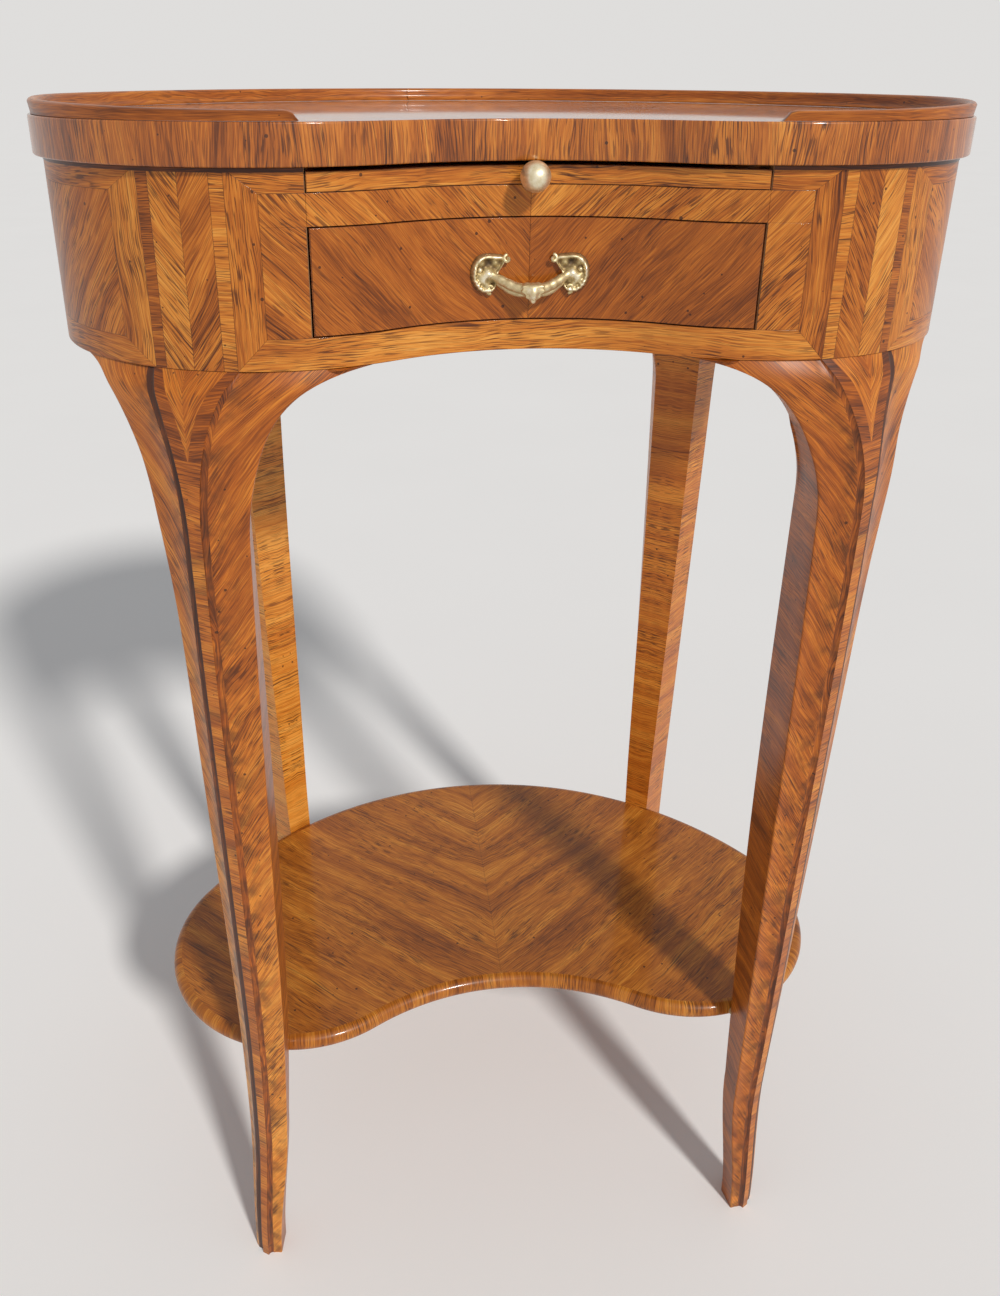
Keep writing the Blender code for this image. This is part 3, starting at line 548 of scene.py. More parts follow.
def leaf_on(skin, corners, angle, tone, seed, dark="lrbt", proud=PROUD):
    """One leaf on the frieze: a patch drawn evenly between four corners (run, height in mm).

    The corners go lower left, lower right, upper right, upper left. A narrow
    border darkens towards the joint on the sides named in dark: left, right,
    bottom, top. The grain lies at angle degrees to the run.
    """
    a, b, c, d = np.array(corners, float) / 1000
    wide = max(b[0] - a[0], c[0] - d[0])
    tall = max(d[1] - a[1], c[1] - b[1])

    def steps(size, pitch):
        margin = LEAF_GAP + LEAF_BORDER
        inner = np.linspace(margin, size - LEAF_GAP - LEAF_BORDER, max(3, int(size / pitch) + 2))
        return np.r_[LEAF_GAP, inner, size - LEAF_GAP] / size

    s, t = steps(wide, LEAF_STEP)[None, :, None], steps(tall, LEAF_STEP_UP)[:, None, None]
    flat = (1 - t) * ((1 - s) * a + s * b) + t * ((1 - s) * d + s * c)
    joint = np.ones(flat.shape[:2])
    shade = {side: LEAF_JOINT if side in dark else 1.0 for side in "lrbt"}
    joint[0], joint[-1] = shade["b"], shade["t"]
    joint[:, 0] = np.minimum(joint[:, 0], shade["l"])
    joint[:, -1] = np.minimum(joint[:, -1], shade["r"])
    x, y = FRIEZE.at(flat[..., 0], proud)
    grain = turned(flat[..., 0], flat[..., 1], math.radians(angle), seed)
    skin.add(stack(x, y, flat[..., 1]), grain, tone, joint)


def band(low, high, foot=FOOT, head=HEAD):
    """Corners of an upright oblong leaf."""
    return (low, foot), (high, foot), (high, head), (low, head)


def mirror_leaf(corners):
    """The same leaf on the left, with its corners in their usual order."""
    a, b, c, d = corners
    return (-b[0], b[1]), (-a[0], a[1]), (-d[0], d[1]), (-c[0], c[1])


# Leaves on the right from the drawer round to the middle of the back: corners, grain angle, tone
RIGHT_LEAVES = (
    (((OPENING, RAIL_HEAD), (FRONT_BAND, RAIL_HEAD), (FRONT_STILE, HEAD), (OPENING, HEAD)), 2, 0.54),
    (band(FRONT_STILE, FRONT_PAIR), 3, 0.64),
    (band(FRONT_PAIR, FRONT_PAIR_MID), -54, 0.47),
    (band(FRONT_PAIR_MID, FRONT_PAIR_END), 54, 0.69),
    (band(FRONT_PAIR_END, SIDE_BAND), -3, 0.38),
    (((SIDE_BAND, FOOT), (SIDE_START, BAND), (SIDE_START, RAIL_HEAD), (SIDE_BAND, HEAD)), 90, 0.60),
    (((SIDE_START, RAIL_HEAD), (SIDE_END, RAIL_HEAD), (REAR_STILE, HEAD), (SIDE_BAND, HEAD)), 1, 0.52),
    (((SIDE_BAND, FOOT), (REAR_STILE, FOOT), (SIDE_END, BAND), (SIDE_START, BAND)), -1, 0.54),
    (band(SIDE_START, SIDE_MID, BAND, RAIL_HEAD), -48, 0.50),
    (band(SIDE_MID, SIDE_END, BAND, RAIL_HEAD), 48, 0.49),
    (((SIDE_END, BAND), (REAR_STILE, FOOT), (REAR_STILE, HEAD), (SIDE_END, RAIL_HEAD)), 90, 0.55),
    (band(REAR_STILE, REAR_PAIR), 2, 0.42),
    (band(REAR_PAIR, REAR_PAIR_MID), -54, 0.62),
    (band(REAR_PAIR_MID, REAR_PAIR_END), 54, 0.46),
    (band(REAR_PAIR_END, BACK_BAND), -2, 0.44),
    (((BACK_BAND, FOOT), (BACK_START, BAND), (BACK_START, RAIL_HEAD), (BACK_BAND, HEAD)), 90, 0.54),
    (((BACK_START, RAIL_HEAD), (BACK_MID, RAIL_HEAD), (BACK_MID, HEAD), (BACK_BAND, HEAD)), 1, 0.51),
    (((BACK_BAND, FOOT), (BACK_MID, FOOT), (BACK_MID, BAND), (BACK_START, BAND)), -1, 0.53),
    (band(BACK_START, BACK_MID, BAND, RAIL_HEAD), 46, 0.50),
)
BAND_SEED = 3
LEFT_DARKER = 0.015


def frieze_veneers():
    """Leaves of the frieze, of the rail over the drawer, of the drawer's front and of the slide's edge."""
    skin, rail, front, lip = Skin(), Skin(), Skin(), Skin()
    upright = (FRONT_BAND, RAIL), (FRONT_STILE, FOOT), (FRONT_STILE, HEAD), (FRONT_BAND, RAIL_HEAD)
    leaf_on(skin, upright, angle=88, tone=0.44, seed=BAND_SEED)
    leaf_on(skin, mirror_leaf(upright), angle=-88, tone=0.54, seed=BAND_SEED)
    for seed, (corners, angle, tone) in enumerate(RIGHT_LEAVES, BAND_SEED + 1):
        leaf_on(skin, corners, angle, tone, seed)
        leaf_on(skin, mirror_leaf(corners), -angle, tone - LEFT_DARKER, seed)
    for sign, start, end in ((1, "l", "r"), (-1, "r", "l")):

        def lay(onto, corners, angle, tone, seed, **more):
            leaf_on(onto, corners if sign > 0 else mirror_leaf(corners), sign * angle, tone, seed, **more)

        # the divider's leaf runs on into the fields beside the drawer without a joint
        field = {"angle": 44, "tone": 0.53, "seed": 35}
        lay(rail, band(0.0, DIVIDER_END, DIVIDER, RAIL_HEAD), dark="bt" + start, **field)
        lay(skin, band(FIELD_START, FRONT_BAND, DIVIDER, RAIL_HEAD), dark="t" + end, **field)
        lay(skin, band(OPENING, FRONT_BAND, RAIL, DIVIDER), dark="b" + end + start, **field)
        # painted shadow: a dark strip in the angle under the top, standing for the shadow of the top's
        # overhang
        lay(skin, band(OPENING, BACK_MID, HEAD - OVERHANG_SHADOW_LINE), angle=0, tone=0.02, seed=57, dark="",
            proud=PROUD + 0.0002)
        lay(front, band(0.0, DRAWER_HALF, DRAWER_FOOT, DRAWER_HEAD), angle=47, tone=0.40 - LEFT_DARKER * sign,
            seed=37)
    bottom = (-FRONT_STILE, FOOT), (FRONT_STILE, FOOT), (FRONT_BAND, RAIL), (-FRONT_BAND, RAIL)
    leaf_on(skin, bottom, angle=0.6, tone=0.60, seed=31)
    edge = band(-SLIDE_HALF, SLIDE_HALF, 1000 * SLIDE_UNDER + SLIDE_GAP, 1000 * SLIDE_TOP - SLIDE_GAP)
    leaf_on(lip, edge, angle=1, tone=0.60, seed=39)
    for leaves, name, look, body, slot in (
            (skin, "frieze_veneers", KINGWOOD, "carcass", "kingwood_veneer"),
            (rail, "divider_veneers", KINGWOOD, "carcass", "kingwood_veneer"),
            (front, "drawer_front_veneers", DRAWER_KINGWOOD, "drawer", "kingwood_veneer"),
            (lip, "slide_edge_veneer", KINGWOOD, "slide", "crossband")):
        leaves.piece(name, look, body, slot, closed=False, thick=VENEER)


# Top and gallery

EDGE_ROUND = 0.0009
EDGE_LEAVES, EDGE_LEAF_STEPS = 25, 18
BORDER_START, BORDER_END, STRING_END = 0.012, 0.0235, 0.0252
UNDER_RING, UNDER_END = 0.02, 0.05
RUN_STEPS = 361
# A field's spine: x and y of its ends in the lobes, and y of its middle
TOP_SPINE, SHELF_SPINE = (0.126, -0.045, 0.012), (0.138, -0.040, 0.010)
SPINE_SHARE = 0.93


def fan(skin, plan, inset, z, spine, angle, tone, seed, flip):
    """Two halves of a kidney field, matched along the middle.

    Lines run from the edge to a spine, which is a parabola between the lobes.
    """
    lobe_x, lobe_y, crest = spine
    joint_half, first = 0.0005, 0.004
    for sign in (1, -1):
        field = np.linspace(first, plan.half - first, 108)
        run = np.r_[0, joint_half, field, plan.half - joint_half, plan.half] * sign
        x, y = plan.at(run, -inset)
        x[0] = x[-1] = 0.0
        spine_x = np.clip(x, -lobe_x, lobe_x) * SPINE_SHARE
        spine_y = crest + (lobe_y - crest) * (spine_x / lobe_x) ** 2
        t = even(14).T
        px, py = x + (spine_x - x) * t, y + (spine_y - y) * t
        joint = np.where(np.abs(px) < 0.0001, 0.6, 1.0)
        grain = turned(np.abs(px), py, angle, seed)
        skin.add(stack(px, py, z), grain, tone, joint, flip=flip ^ (sign < 0))


def way_round(profile):
    """Length along a profile from its start, as a column."""
    return np.r_[0, np.cumsum(np.hypot(*np.diff(profile, axis=0).T))][:, None]


def rings(skin, plan, profile, runs, tone, seed, crosswise, joint=1.0):
    """Sweep of (inset, height) pairs round a kidney edge, with its grain across the edge or round it."""
    profile = np.array(profile)
    x, y = plan.at(runs[None, :], -profile[:, :1])
    way, run = way_round(profile), runs[None, :]
    grain = turned(way, run, 0.0, seed) if crosswise else turned(run, way, 0.0, seed)
    skin.add(stack(x, y, profile[:, 1:]), grain, tone, joint)


def rounded_edge(low, high, arris, steps=4):
    """Upright edge from low to high with a quarter circle at both arrises, as (inset, height)."""
    a = np.linspace(0, math.pi / 2, steps)
    foot = np.c_[arris * (1 - np.sin(a)), low + arris * (1 - np.cos(a))]
    head = np.c_[arris * (1 - np.cos(a)), high - arris * (1 - np.sin(a))]
    return np.r_[foot, head]


def top_edge(skin, edge):
    """Upright leaves round the top's edge, unequal in length and a little unequal in tone, and painted paler
    in front as light falling on the hollow front.
    """
    rng = np.random.default_rng(7)
    joint_shade, joint_width, cut_shift, pale_reach = 0.45, 0.0003, 0.008, 0.2
    cuts = np.linspace(-TOP.half, TOP.half, EDGE_LEAVES + 1)
    cuts[1:-1] += rng.uniform(-cut_shift, cut_shift, EDGE_LEAVES - 1)
    for k, (low, high) in enumerate(zip(cuts[:-1], cuts[1:])):
        inner = np.linspace(low + joint_width, high - joint_width, EDGE_LEAF_STEPS)
        joint = np.ones((len(edge), EDGE_LEAF_STEPS + 2))
        joint[:, 0] = joint[:, -1] = joint_shade
        # painted light: the edge leaves are paler towards the middle of the front, where the sun falls on the
        # hollow front
        tone = 0.43 + 0.09 * bell((low + high) / pale_reach) + rng.uniform(-0.03, 0.04)
        rings(skin, TOP, edge, np.r_[low, inner, high], tone, seed=11 + k, crosswise=True, joint=joint)


def top_piece():
    """Top: leaves round the edge, a cross-grain border, a pale string, a matched field and the underside."""
    skin = Skin()
    runs = np.linspace(-TOP.half, TOP.half, RUN_STEPS)
    edge = rounded_edge(TOP_UNDER, TOP_HEIGHT, EDGE_ROUND)
    top_edge(skin, edge)
    border = [(inset, TOP_HEIGHT) for inset in (edge[-1][0], BORDER_START, BORDER_END)]
    rings(skin, TOP, border, runs, tone=0.46, seed=41, crosswise=True)
    string = [(inset, TOP_HEIGHT) for inset in (BORDER_END, STRING_END)]
    rings(skin, TOP, string, runs, tone=0.74, seed=43, crosswise=False)
    fan(skin, TOP, STRING_END, TOP_HEIGHT, TOP_SPINE, math.radians(52), tone=0.50, seed=45, flip=True)
    under = [(inset, TOP_UNDER) for inset in (UNDER_END, UNDER_RING, edge[0][0])]
    rings(skin, TOP, under, runs, tone=0.36, seed=47, crosswise=False)
    fan(skin, TOP, UNDER_END, TOP_UNDER, TOP_SPINE, 0.0, tone=0.36, seed=49, flip=False)
    skin.piece("top_veneered", TOP_KINGWOOD, "carcass", "kingwood_veneer", replaces=("top_board",))


# The gallery ends at RIM_END beside the hollow front, and its two lengths meet past the middle of the back
RIM_END, RIM_JOINT, RIM_JOINT_GAP = 0.113, 0.0450, 0.0001
RIM_FOOT_GAP = 0.0002
RIM_OUTER, RIM_INNER, RIM_QUIRK = 0.0016, 0.0096, 0.0012
CREST_IN, CREST_UP, CREST_ROUND = 0.0032, 0.0054, 0.0024
COVE_UP, COVE_WIDE, COVE_TALL = 0.0042, 0.0040, 0.0036
RIM_STOP, RIM_STOP_SHARE, RIM_FRONT_SHARE = 0.006, 0.08, 0.575


def gallery(name, first, last, nodes, seed):
    """Moulded rim from run first to run last: a rounded crest, a cove inside and a quirk outside.

    It is about 4.7 mm high at its ends beside the hollow front, rises to 8 mm
    at the back, and dies into the top along a quarter circle, over its last
    6 mm, at an open end.
    """
    a = np.linspace(math.pi * 0.92, 0, 9)
    crest = np.c_[CREST_IN + CREST_ROUND * np.cos(a), CREST_UP + CREST_ROUND * np.sin(a)]
    b = np.linspace(0.25, math.pi / 2, 7)
    cove = np.c_[RIM_INNER - COVE_WIDE * np.cos(b), COVE_UP - COVE_TALL * np.sin(b)]
    profile = np.r_[[(RIM_OUTER, 0), (RIM_OUTER, RIM_QUIRK)], crest, cove, [(RIM_INNER, 0), (RIM_OUTER, 0)]]
    runs = np.linspace(first, last, 220)
    around = TOP.half - np.abs(np.abs(runs) - TOP.half)
    near = np.abs(runs - (first if abs(first) == RIM_END else last))
    stop = RIM_STOP_SHARE + (1 - RIM_STOP_SHARE) * np.sqrt(1 - (1 - np.clip(near / RIM_STOP, 0, 1)) ** 2)
    climb = rise((around - RIM_END) / (TOP.second - RIM_END))
    keep = stop * (RIM_FRONT_SHARE + (1 - RIM_FRONT_SHARE) * climb)
    x, y = TOP.at(runs[None, :], -profile[:, :1])
    z = TOP_HEIGHT + RIM_FOOT_GAP + profile[:, 1:] * keep
    skin = Skin()
    tone = 0.44
    skin.add(stack(x, y, z), turned(runs[None, :], way_round(profile), 0.0, seed), tone)
    for column in (0, -1):
        ring = stack(x[:, column], y[:, column], z[:, column])
        skin.cap(ring, turned(ring[:, 2], ring[:, 0] + ring[:, 1], 0.0, seed), tone)
    skin.piece(name, GALLERY_KINGWOOD, "carcass", "kingwood_veneer", replaces=nodes, sharp=50)


def galleries():
    """The rim's two lengths."""
    back = TOP.half + RIM_JOINT
    gallery("gallery_right_moulded", RIM_END, back - RIM_JOINT_GAP, ("gallery_right",), seed=51)
    gallery("gallery_left_moulded", back + RIM_JOINT_GAP - 2 * TOP.half, -RIM_END, ("gallery_left",), seed=53)


# Undertier

def undertier():
    """Shelf: a half-round edge, a matched field above and a plain underside."""
    skin = Skin()
    runs = np.linspace(-SHELF.half, SHELF.half, RUN_STEPS)
    radius = SHELF_THICK / 2
    a = np.linspace(-math.pi / 2, math.pi / 2, 13)
    nose = np.c_[radius * (1 - np.cos(a)), SHELF_HEIGHT - radius + radius * np.sin(a)]
    rings(skin, SHELF, nose, runs, tone=0.46, seed=61, crosswise=True)
    under = SHELF_HEIGHT - SHELF_THICK
    fan(skin, SHELF, radius, SHELF_HEIGHT, SHELF_SPINE, math.radians(39), tone=0.46, seed=63, flip=True)
    fan(skin, SHELF, radius, under, SHELF_SPINE, 0.0, tone=0.34, seed=65, flip=False)
    skin.piece("undertier_veneered", SHELF_KINGWOOD, "carcass", "kingwood_veneer", replaces=("undertier",))


# Legs

KNEE, ANKLE = 0.545, 0.110
FRONT_X, FRONT_TURN = 0.166, math.radians(30)
REAR_X, REAR_TURN = 0.159, math.radians(39)
EAR_TOP = FRIEZE_FOOT - 0.0002
EAR_DROP, EAR_TIP, EAR_THICK, EAR_BOW = 0.088, 0.001, 0.016, 0.52
EAR_REACH, FRONT_EAR_REACH = 0.049, 0.060
EAR_SLANT, REAR_EAR_SLANT = math.radians(30), math.radians(15)
SHIELD_STEP = 0.0012
LEAN_START, LEAN_FOOT = 0.07, 0.22
# Front legs: the fuller outer knee, its place under the frieze and its spread, and the shoulder
KNEE_FULL, KNEE_DROP, KNEE_ABOVE, KNEE_BELOW, KNEE_START = 0.0070, 0.047, 0.036, 0.058, 0.010
SHOULDER, SHOULDER_DROP, SHOULDER_FADE, SHOULDER_TAIL = 0.0050, 0.013, 0.067, 0.45
# The strip's half width and its loss down the shin and toe, then how far the shield widens it
STRIP, STRIP_SHIN, STRIP_TOE = 0.0038, 0.00105, 0.00045
SHIELD_IN, SHIELD_OUT = (0.0206, 2.2), (0.0136, 1.5)
# Sections at the stile, knee, ankle and toe: pairs hold the inward side, then the outward side
OUT = (0.0, 0.0118, 0.0048, 0.0113)
WIDE = (STILE_HALF, 0.0236, 0.0145, 0.0098), (STILE_HALF, 0.0232, 0.0142, 0.0098)
FALL = (0.0125, 0.0125, 0.0071, 0.005), (0.0069, 0.0069, 0.0060, 0.0032)
FRONT_BACK, REAR_BACK = (-STILE_DEPTH, -0.0320, -0.0200, -0.0071), (-STILE_DEPTH, -0.0189, -0.0285, -0.0071)
FRONT_NARROW = (STILE_HALF, 0.0022, 0.0045, 0.0045), (STILE_HALF, 0.0022, 0.0045, 0.0060)
REAR_NARROW = (STILE_HALF, 0.013, 0.0062, 0.0045), (STILE_HALF, 0.0195, 0.0118, 0.0060)
# The hollow beside the strip: widths inward and outward, share that curves, and depth
HOLLOW, COVE_SHARE, HOLLOW_DEEP, OUTER_HOLLOW_DEEP = (0.0024, 0.0054), (1.0, 0.4), 1.25, 0.0026
FLANK_CROWN, ARRIS = 0.16, 0.0014
# Strip lengths: heights of their joints from the floor to the shield, and their tones
STRIP_CUTS = (0.0, 0.105, 0.19, 0.268, 0.352, 0.44, 0.513, 0.532, 0.583)
STRIP_TONES = (0.53, 0.61, 0.50, 0.62, 0.54, 0.55, 0.70, 0.46)
SAME_HEIGHT = 1e-9


def leg_sizes(z, rear):
    """Section of the leg at heights z: each size passes smoothly from stile to knee, ankle and toe.

    Sizes that differ between the sides come in pairs: inward side, outward side.
    """
    down = (FRIEZE_FOOT - z) / (FRIEZE_FOOT - KNEE)
    knee = rise(down)
    shin = np.clip((KNEE - z) / (KNEE - ANKLE), 0, 1)
    toe = np.clip((ANKLE - z) / ANKLE, 0, 1)

    def passing(sizes, shin_way=shin):
        stile, at_knee, at_ankle, at_toe = sizes
        return (stile + (at_knee - stile) * knee + (at_ankle - at_knee) * shin_way
                + (at_toe - at_ankle) * rise(toe))

    flare = np.clip(1 - down, 0, 1)
    strip = STRIP - STRIP_SHIN * shin - STRIP_TOE * toe
    depth = EAR_TOP - z
    past = depth - KNEE_DROP
    fuller = KNEE_FULL * bell(past / np.where(past < 0, KNEE_ABOVE, KNEE_BELOW)) * rise(depth / KNEE_START)
    slope = np.clip(depth / SHOULDER_DROP, 0, 1)
    fading = 1 - rise((depth - SHOULDER_DROP) / SHOULDER_FADE)
    shoulder = SHOULDER * slope * (1.5 - 0.5 * slope ** 2) * fading
    if rear:
        fuller = shoulder = 0.0
    return {
        "shoulder": shoulder,
        "out": passing(OUT, rise(shin)) + shoulder,
        "strip": [strip + wider * flare ** power for wider, power in (SHIELD_IN, SHIELD_OUT)],
        "wide": (passing(WIDE[0]), passing(WIDE[1]) + fuller),
        "fall": [passing(sizes) for sizes in FALL],
        "back": passing(REAR_BACK, rise(shin)) if rear else passing(FRONT_BACK, shin ** 3),
        "narrow": [passing(sizes) for sizes in (REAR_NARROW if rear else FRONT_NARROW)],
        "blend": rise(1.6 * down),
    }


def way_along(q, n):
    """Length along each row of a grid of (q, n), from its start."""
    step = np.hypot(np.diff(q, axis=1), np.diff(n, axis=1))
    return np.c_[np.zeros(len(q)), np.cumsum(step, axis=1)]


def chain(stops, u):
    """Straight lines from stop to stop, each divided at the shares u, joined end to end."""
    lines = [(a + (c - a) * u, b + (d - b) * u) for (a, b), (c, d) in zip(stops, stops[1:])]
    return [np.concatenate([lines[0][k]] + [line[k][:, 1:] for line in lines[1:]], axis=1) for k in (0, 1)]


class Leg:
    """Cabriole leg and its ears as one skin.

    A point of it is q along the frieze and n out of it, from the middle of the
    stile on the frieze's face, and a height z. Each size is a column over the
    heights. lean is how far the shin stands over to the right at mid height,
    plain the tone of the sides and back, and fade how much paler the flanks
    grow low down.
    """

    def __init__(self, rear, mirror, seed, lean, plain, fade):
        self.rear, self.mirror, self.seed, self.plain, self.fade = rear, mirror, seed, plain, fade
        x, turn, ahead = (REAR_X, REAR_TURN, 1) if rear else (FRONT_X, FRONT_TURN, -1)
        centre = np.array((0.0, FRIEZE.back_y) if rear else (FRIEZE.cx, FRIEZE.cy))
        self.radius = FRIEZE.bow if rear else FRIEZE.lobe
        self.base = np.array((x, centre[1] + ahead * math.sqrt(self.radius ** 2 - (x - centre[0]) ** 2)))
        self.out = np.array((math.sin(turn), ahead * math.cos(turn)))
        self.along = np.array((-self.out[1], self.out[0]))
        self.centre_q, self.centre_n = (centre - self.base) @ self.along, (centre - self.base) @ self.out
        ear = EAR_TOP - EAR_DROP * np.linspace(0, 1, 30) ** 1.7
        shin = np.linspace(ear[-1], ANKLE, 34)[1:]
        toe = np.linspace(ANKLE, 0.0, 12)[1:]
        self.z = np.union1d(np.r_[ear, shin, toe], STRIP_CUTS[1:])[::-1][:, None]
        self.depth = EAR_TOP - self.z
        self.size = leg_sizes(self.z, rear)
        self.over = lean * rise(self.depth / LEAN_START) * rise(self.z / LEAN_FOOT)
        self.skin = Skin()
        self.sides = [LegSide(self, sign) for sign in (-1, 1)]

    def face(self, q):
        """How far out the frieze's round face lies at q."""
        least = 1e-6
        return self.centre_n + np.sqrt(np.maximum(self.radius ** 2 - (q - self.centre_q) ** 2, least))

    def plan(self, q, n):
        """x and y of points without the lean; a left leg is the mirror of a right one."""
        q, n = np.broadcast_arrays(q, n)
        p = self.base + q[..., None] * self.along + n[..., None] * self.out
        return (-p[..., 0] if self.mirror else p[..., 0]), p[..., 1]

    def place(self, q, n):
        """Points of a grid that has one row to each height."""
        x, y = self.plan(q, n)
        return stack(x + self.over, y, self.z)

    def outline(self, row):
        """q and n round the whole leg at one row, from the middle of the strip and back to it."""
        negative, positive = (side.outline(row) for side in self.sides)
        return [np.r_[b, a[::-1]] for a, b in zip(negative, positive)]

    def sole(self):
        """Cap under the foot."""
        q, n = self.outline(-1)
        self.skin.cap(stack(*self.plan(q, n), 0.0), turned(q, n, 0.0, self.seed), tone=0.3)

    def stile(self):
        """Tops of the ears, drawn in to the stile, and the stile up to the frieze's top."""
        q, n = self.outline(0)
        back_from, face_gap, tone = -0.0115, 0.00005, 0.4
        half = np.clip(q, -STILE_HALF, STILE_HALF)
        deep = np.where(n < back_from, -STILE_DEPTH, self.face(half) - face_gap)
        ears = stack(*self.plan(q, n), self.z[0, 0])
        foot, head = (stack(*self.plan(half, deep), height) for height in (self.z[0, 0], FRIEZE_TOP))
        self.skin.add(np.stack([ears, foot]), np.stack([turned(q, n, 0.0, self.seed)] * 2), tone)
        tall = FRIEZE_TOP - FRIEZE_FOOT
        self.skin.add(np.stack([foot, head]),
                      np.stack([turned(0 * q + way, half, 0.0, self.seed) for way in (0.0, tall)]), tone)
        self.skin.cap(head, turned(half, deep, 0.0, self.seed), tone=0.3)

    def piece(self, name, nodes):
        """Both sides, the foot's sole and the stile, as the piece that stands for nodes."""
        for side in self.sides:
            side.veneer()
        self.sole()
        self.stile()
        self.skin.piece(name, LEG_KINGWOOD, "carcass", "kingwood_veneer", replaces=nodes, sharp=42)


class LegSide:
    """One side of a leg, with q counted outwards from the strip's middle.

    For each height the section runs from there down a quarter hollow, over
    the flank and ear to a rounded arris, in under the ear, along the leg's
    side and across its back. Both sides follow the same rule.
    """

    def __init__(self, leg, sign):
        size, blend = leg.size, leg.size["blend"]
        self.leg, self.sign, self.flip = leg, sign, (sign > 0) ^ leg.mirror
        self.inner = sign == (1 if leg.rear else -1)
        pick = 0 if self.inner else 1
        self.strip, self.wide = size["strip"][pick], size["wide"][pick]
        self.narrow, self.fall = size["narrow"][pick], size["fall"][pick]
        self.hollow = np.minimum(HOLLOW[pick], 0.6 * (self.wide - self.strip))
        self.cove = COVE_SHARE[pick] * self.hollow
        shallow = np.minimum(OUTER_HOLLOW_DEEP, 0.6 * self.fall)
        self.drop = HOLLOW_DEEP * self.hollow if self.inner else shallow
        self.reach = FRONT_EAR_REACH if (self.inner and not leg.rear) else EAR_REACH
        share = (np.clip(leg.depth + EAR_TIP, 0, EAR_DROP + EAR_TIP) / (EAR_DROP + EAR_TIP)) ** EAR_BOW
        self.end = self.wide + self.reach * (1 - share) ** (1 / EAR_BOW)
        face = leg.face(sign * self.wide)
        self.edge = size["out"] + (1 - blend) * (face - SHIELD_STEP) - blend * self.fall
        self.swell = self.edge - face
        self.lines = self.section()

    def front(self, q):
        """How far out the face lies at q: strip and quarter hollow, crowned flank, then the ear."""
        size, blend = self.leg.size, self.leg.size["blend"]
        deep = np.clip((q - self.strip) / self.cove, 0, 1)
        step = np.sqrt(1 - (1 - deep) ** 2)
        t = np.clip((q - self.strip - self.hollow) / (self.wide - self.strip - self.hollow), 0, 1)
        carved = -self.drop * step + (self.drop - self.fall) * (t + FLANK_CROWN * np.sin(math.pi * t))
        face = self.leg.face(self.sign * q)
        near = size["out"] + (1 - blend) * (face - SHIELD_STEP * step) + blend * carved
        spent = np.clip(1 - (q - self.wide) / self.reach, 0, 1)
        far = face + (self.swell - size["shoulder"]) * spent ** 2 + size["shoulder"] * spent ** SHOULDER_TAIL
        return np.where(q <= self.wide, near, far)

    def section(self):
        """Strip, hollow, flank with its arris, side and back as grids of q and n."""
        leg, end, back = self.leg, self.end, self.leg.size["back"]
        room = self.wide - self.strip - self.hollow
        arris = np.minimum(np.minimum(ARRIS, 0.35 * room), 0.0003 + 0.12 * leg.depth)
        q_strip = self.strip * even(4)
        q_hollow = self.strip + self.hollow * (1 - np.cos(even(7) * math.pi / 2))
        q_flank = self.strip + self.hollow + (end - arris - self.strip - self.hollow) * even(22)
        # the ear's underside runs in square to the table's front, and passes smoothly into the leg's side
        n_end = self.front(end)
        t, inward = rise(leg.depth / EAR_DROP), 0.88
        slant = REAR_EAR_SLANT if leg.rear else EAR_SLANT
        ear_q = end - EAR_THICK * math.sin(slant)
        ear_n = np.maximum(n_end - EAR_THICK * math.cos(slant), back)
        inner_q = ear_q + (end + inward * (self.narrow - end) - ear_q) * t
        inner_n = ear_n + (n_end + inward * (back - n_end) - ear_n) * t
        flat = np.maximum(np.minimum(self.edge, leg.face(self.sign * STILE_HALF)) - EAR_THICK, back)
        half_q = np.minimum(self.wide, ear_q)
        mid_q = half_q + ((inner_q + self.narrow) / 2 - half_q) * t
        mid_n = flat + ((inner_n + back) / 2 - flat) * t
        # the rounded arris is a parabola from the flank to the side or to the ear's underside
        pull = np.minimum(arris / np.hypot(inner_q - end, inner_n - n_end), 0.45)
        past_q, past_n = end + (inner_q - end) * pull, n_end + (inner_n - n_end) * pull
        u = even(6)
        q_round = (1 - u) ** 2 * (end - arris) + 2 * u * (1 - u) * end + u ** 2 * past_q
        n_round = (1 - u) ** 2 * self.front(end - arris) + 2 * u * (1 - u) * n_end + u ** 2 * past_n
        stops = (past_q, past_n), (inner_q, inner_n), (mid_q, mid_n), (self.narrow, back)
        return {
            "strip": (q_strip, self.front(q_strip)),
            "hollow": (q_hollow, self.front(q_hollow)),
            "flank": (np.c_[q_flank, q_round[:, 1:]], np.c_[self.front(q_flank), n_round[:, 1:]]),
            "side": chain(stops, even(4)),
            "back": (self.narrow * (1 - even(3)), back + 0 * even(3)),
        }

    def outline(self, row):
        """q and n of the section at one row."""
        q, n = (np.concatenate([line[k][row] for line in self.lines.values()]) for k in (0, 1))
        return self.sign * q, n

    def lay(self, q, n, angle, tone, more, across=None, wax=0.0):
        """One grid with its grain at angle to the section; across stands for q on a curved line."""
        leg = self.leg
        grain = turned(q if across is None else across, leg.z, angle, leg.seed + more)
        leg.skin.add(leg.place(self.sign * q, n), grain, tone, flip=self.flip, wax=wax)

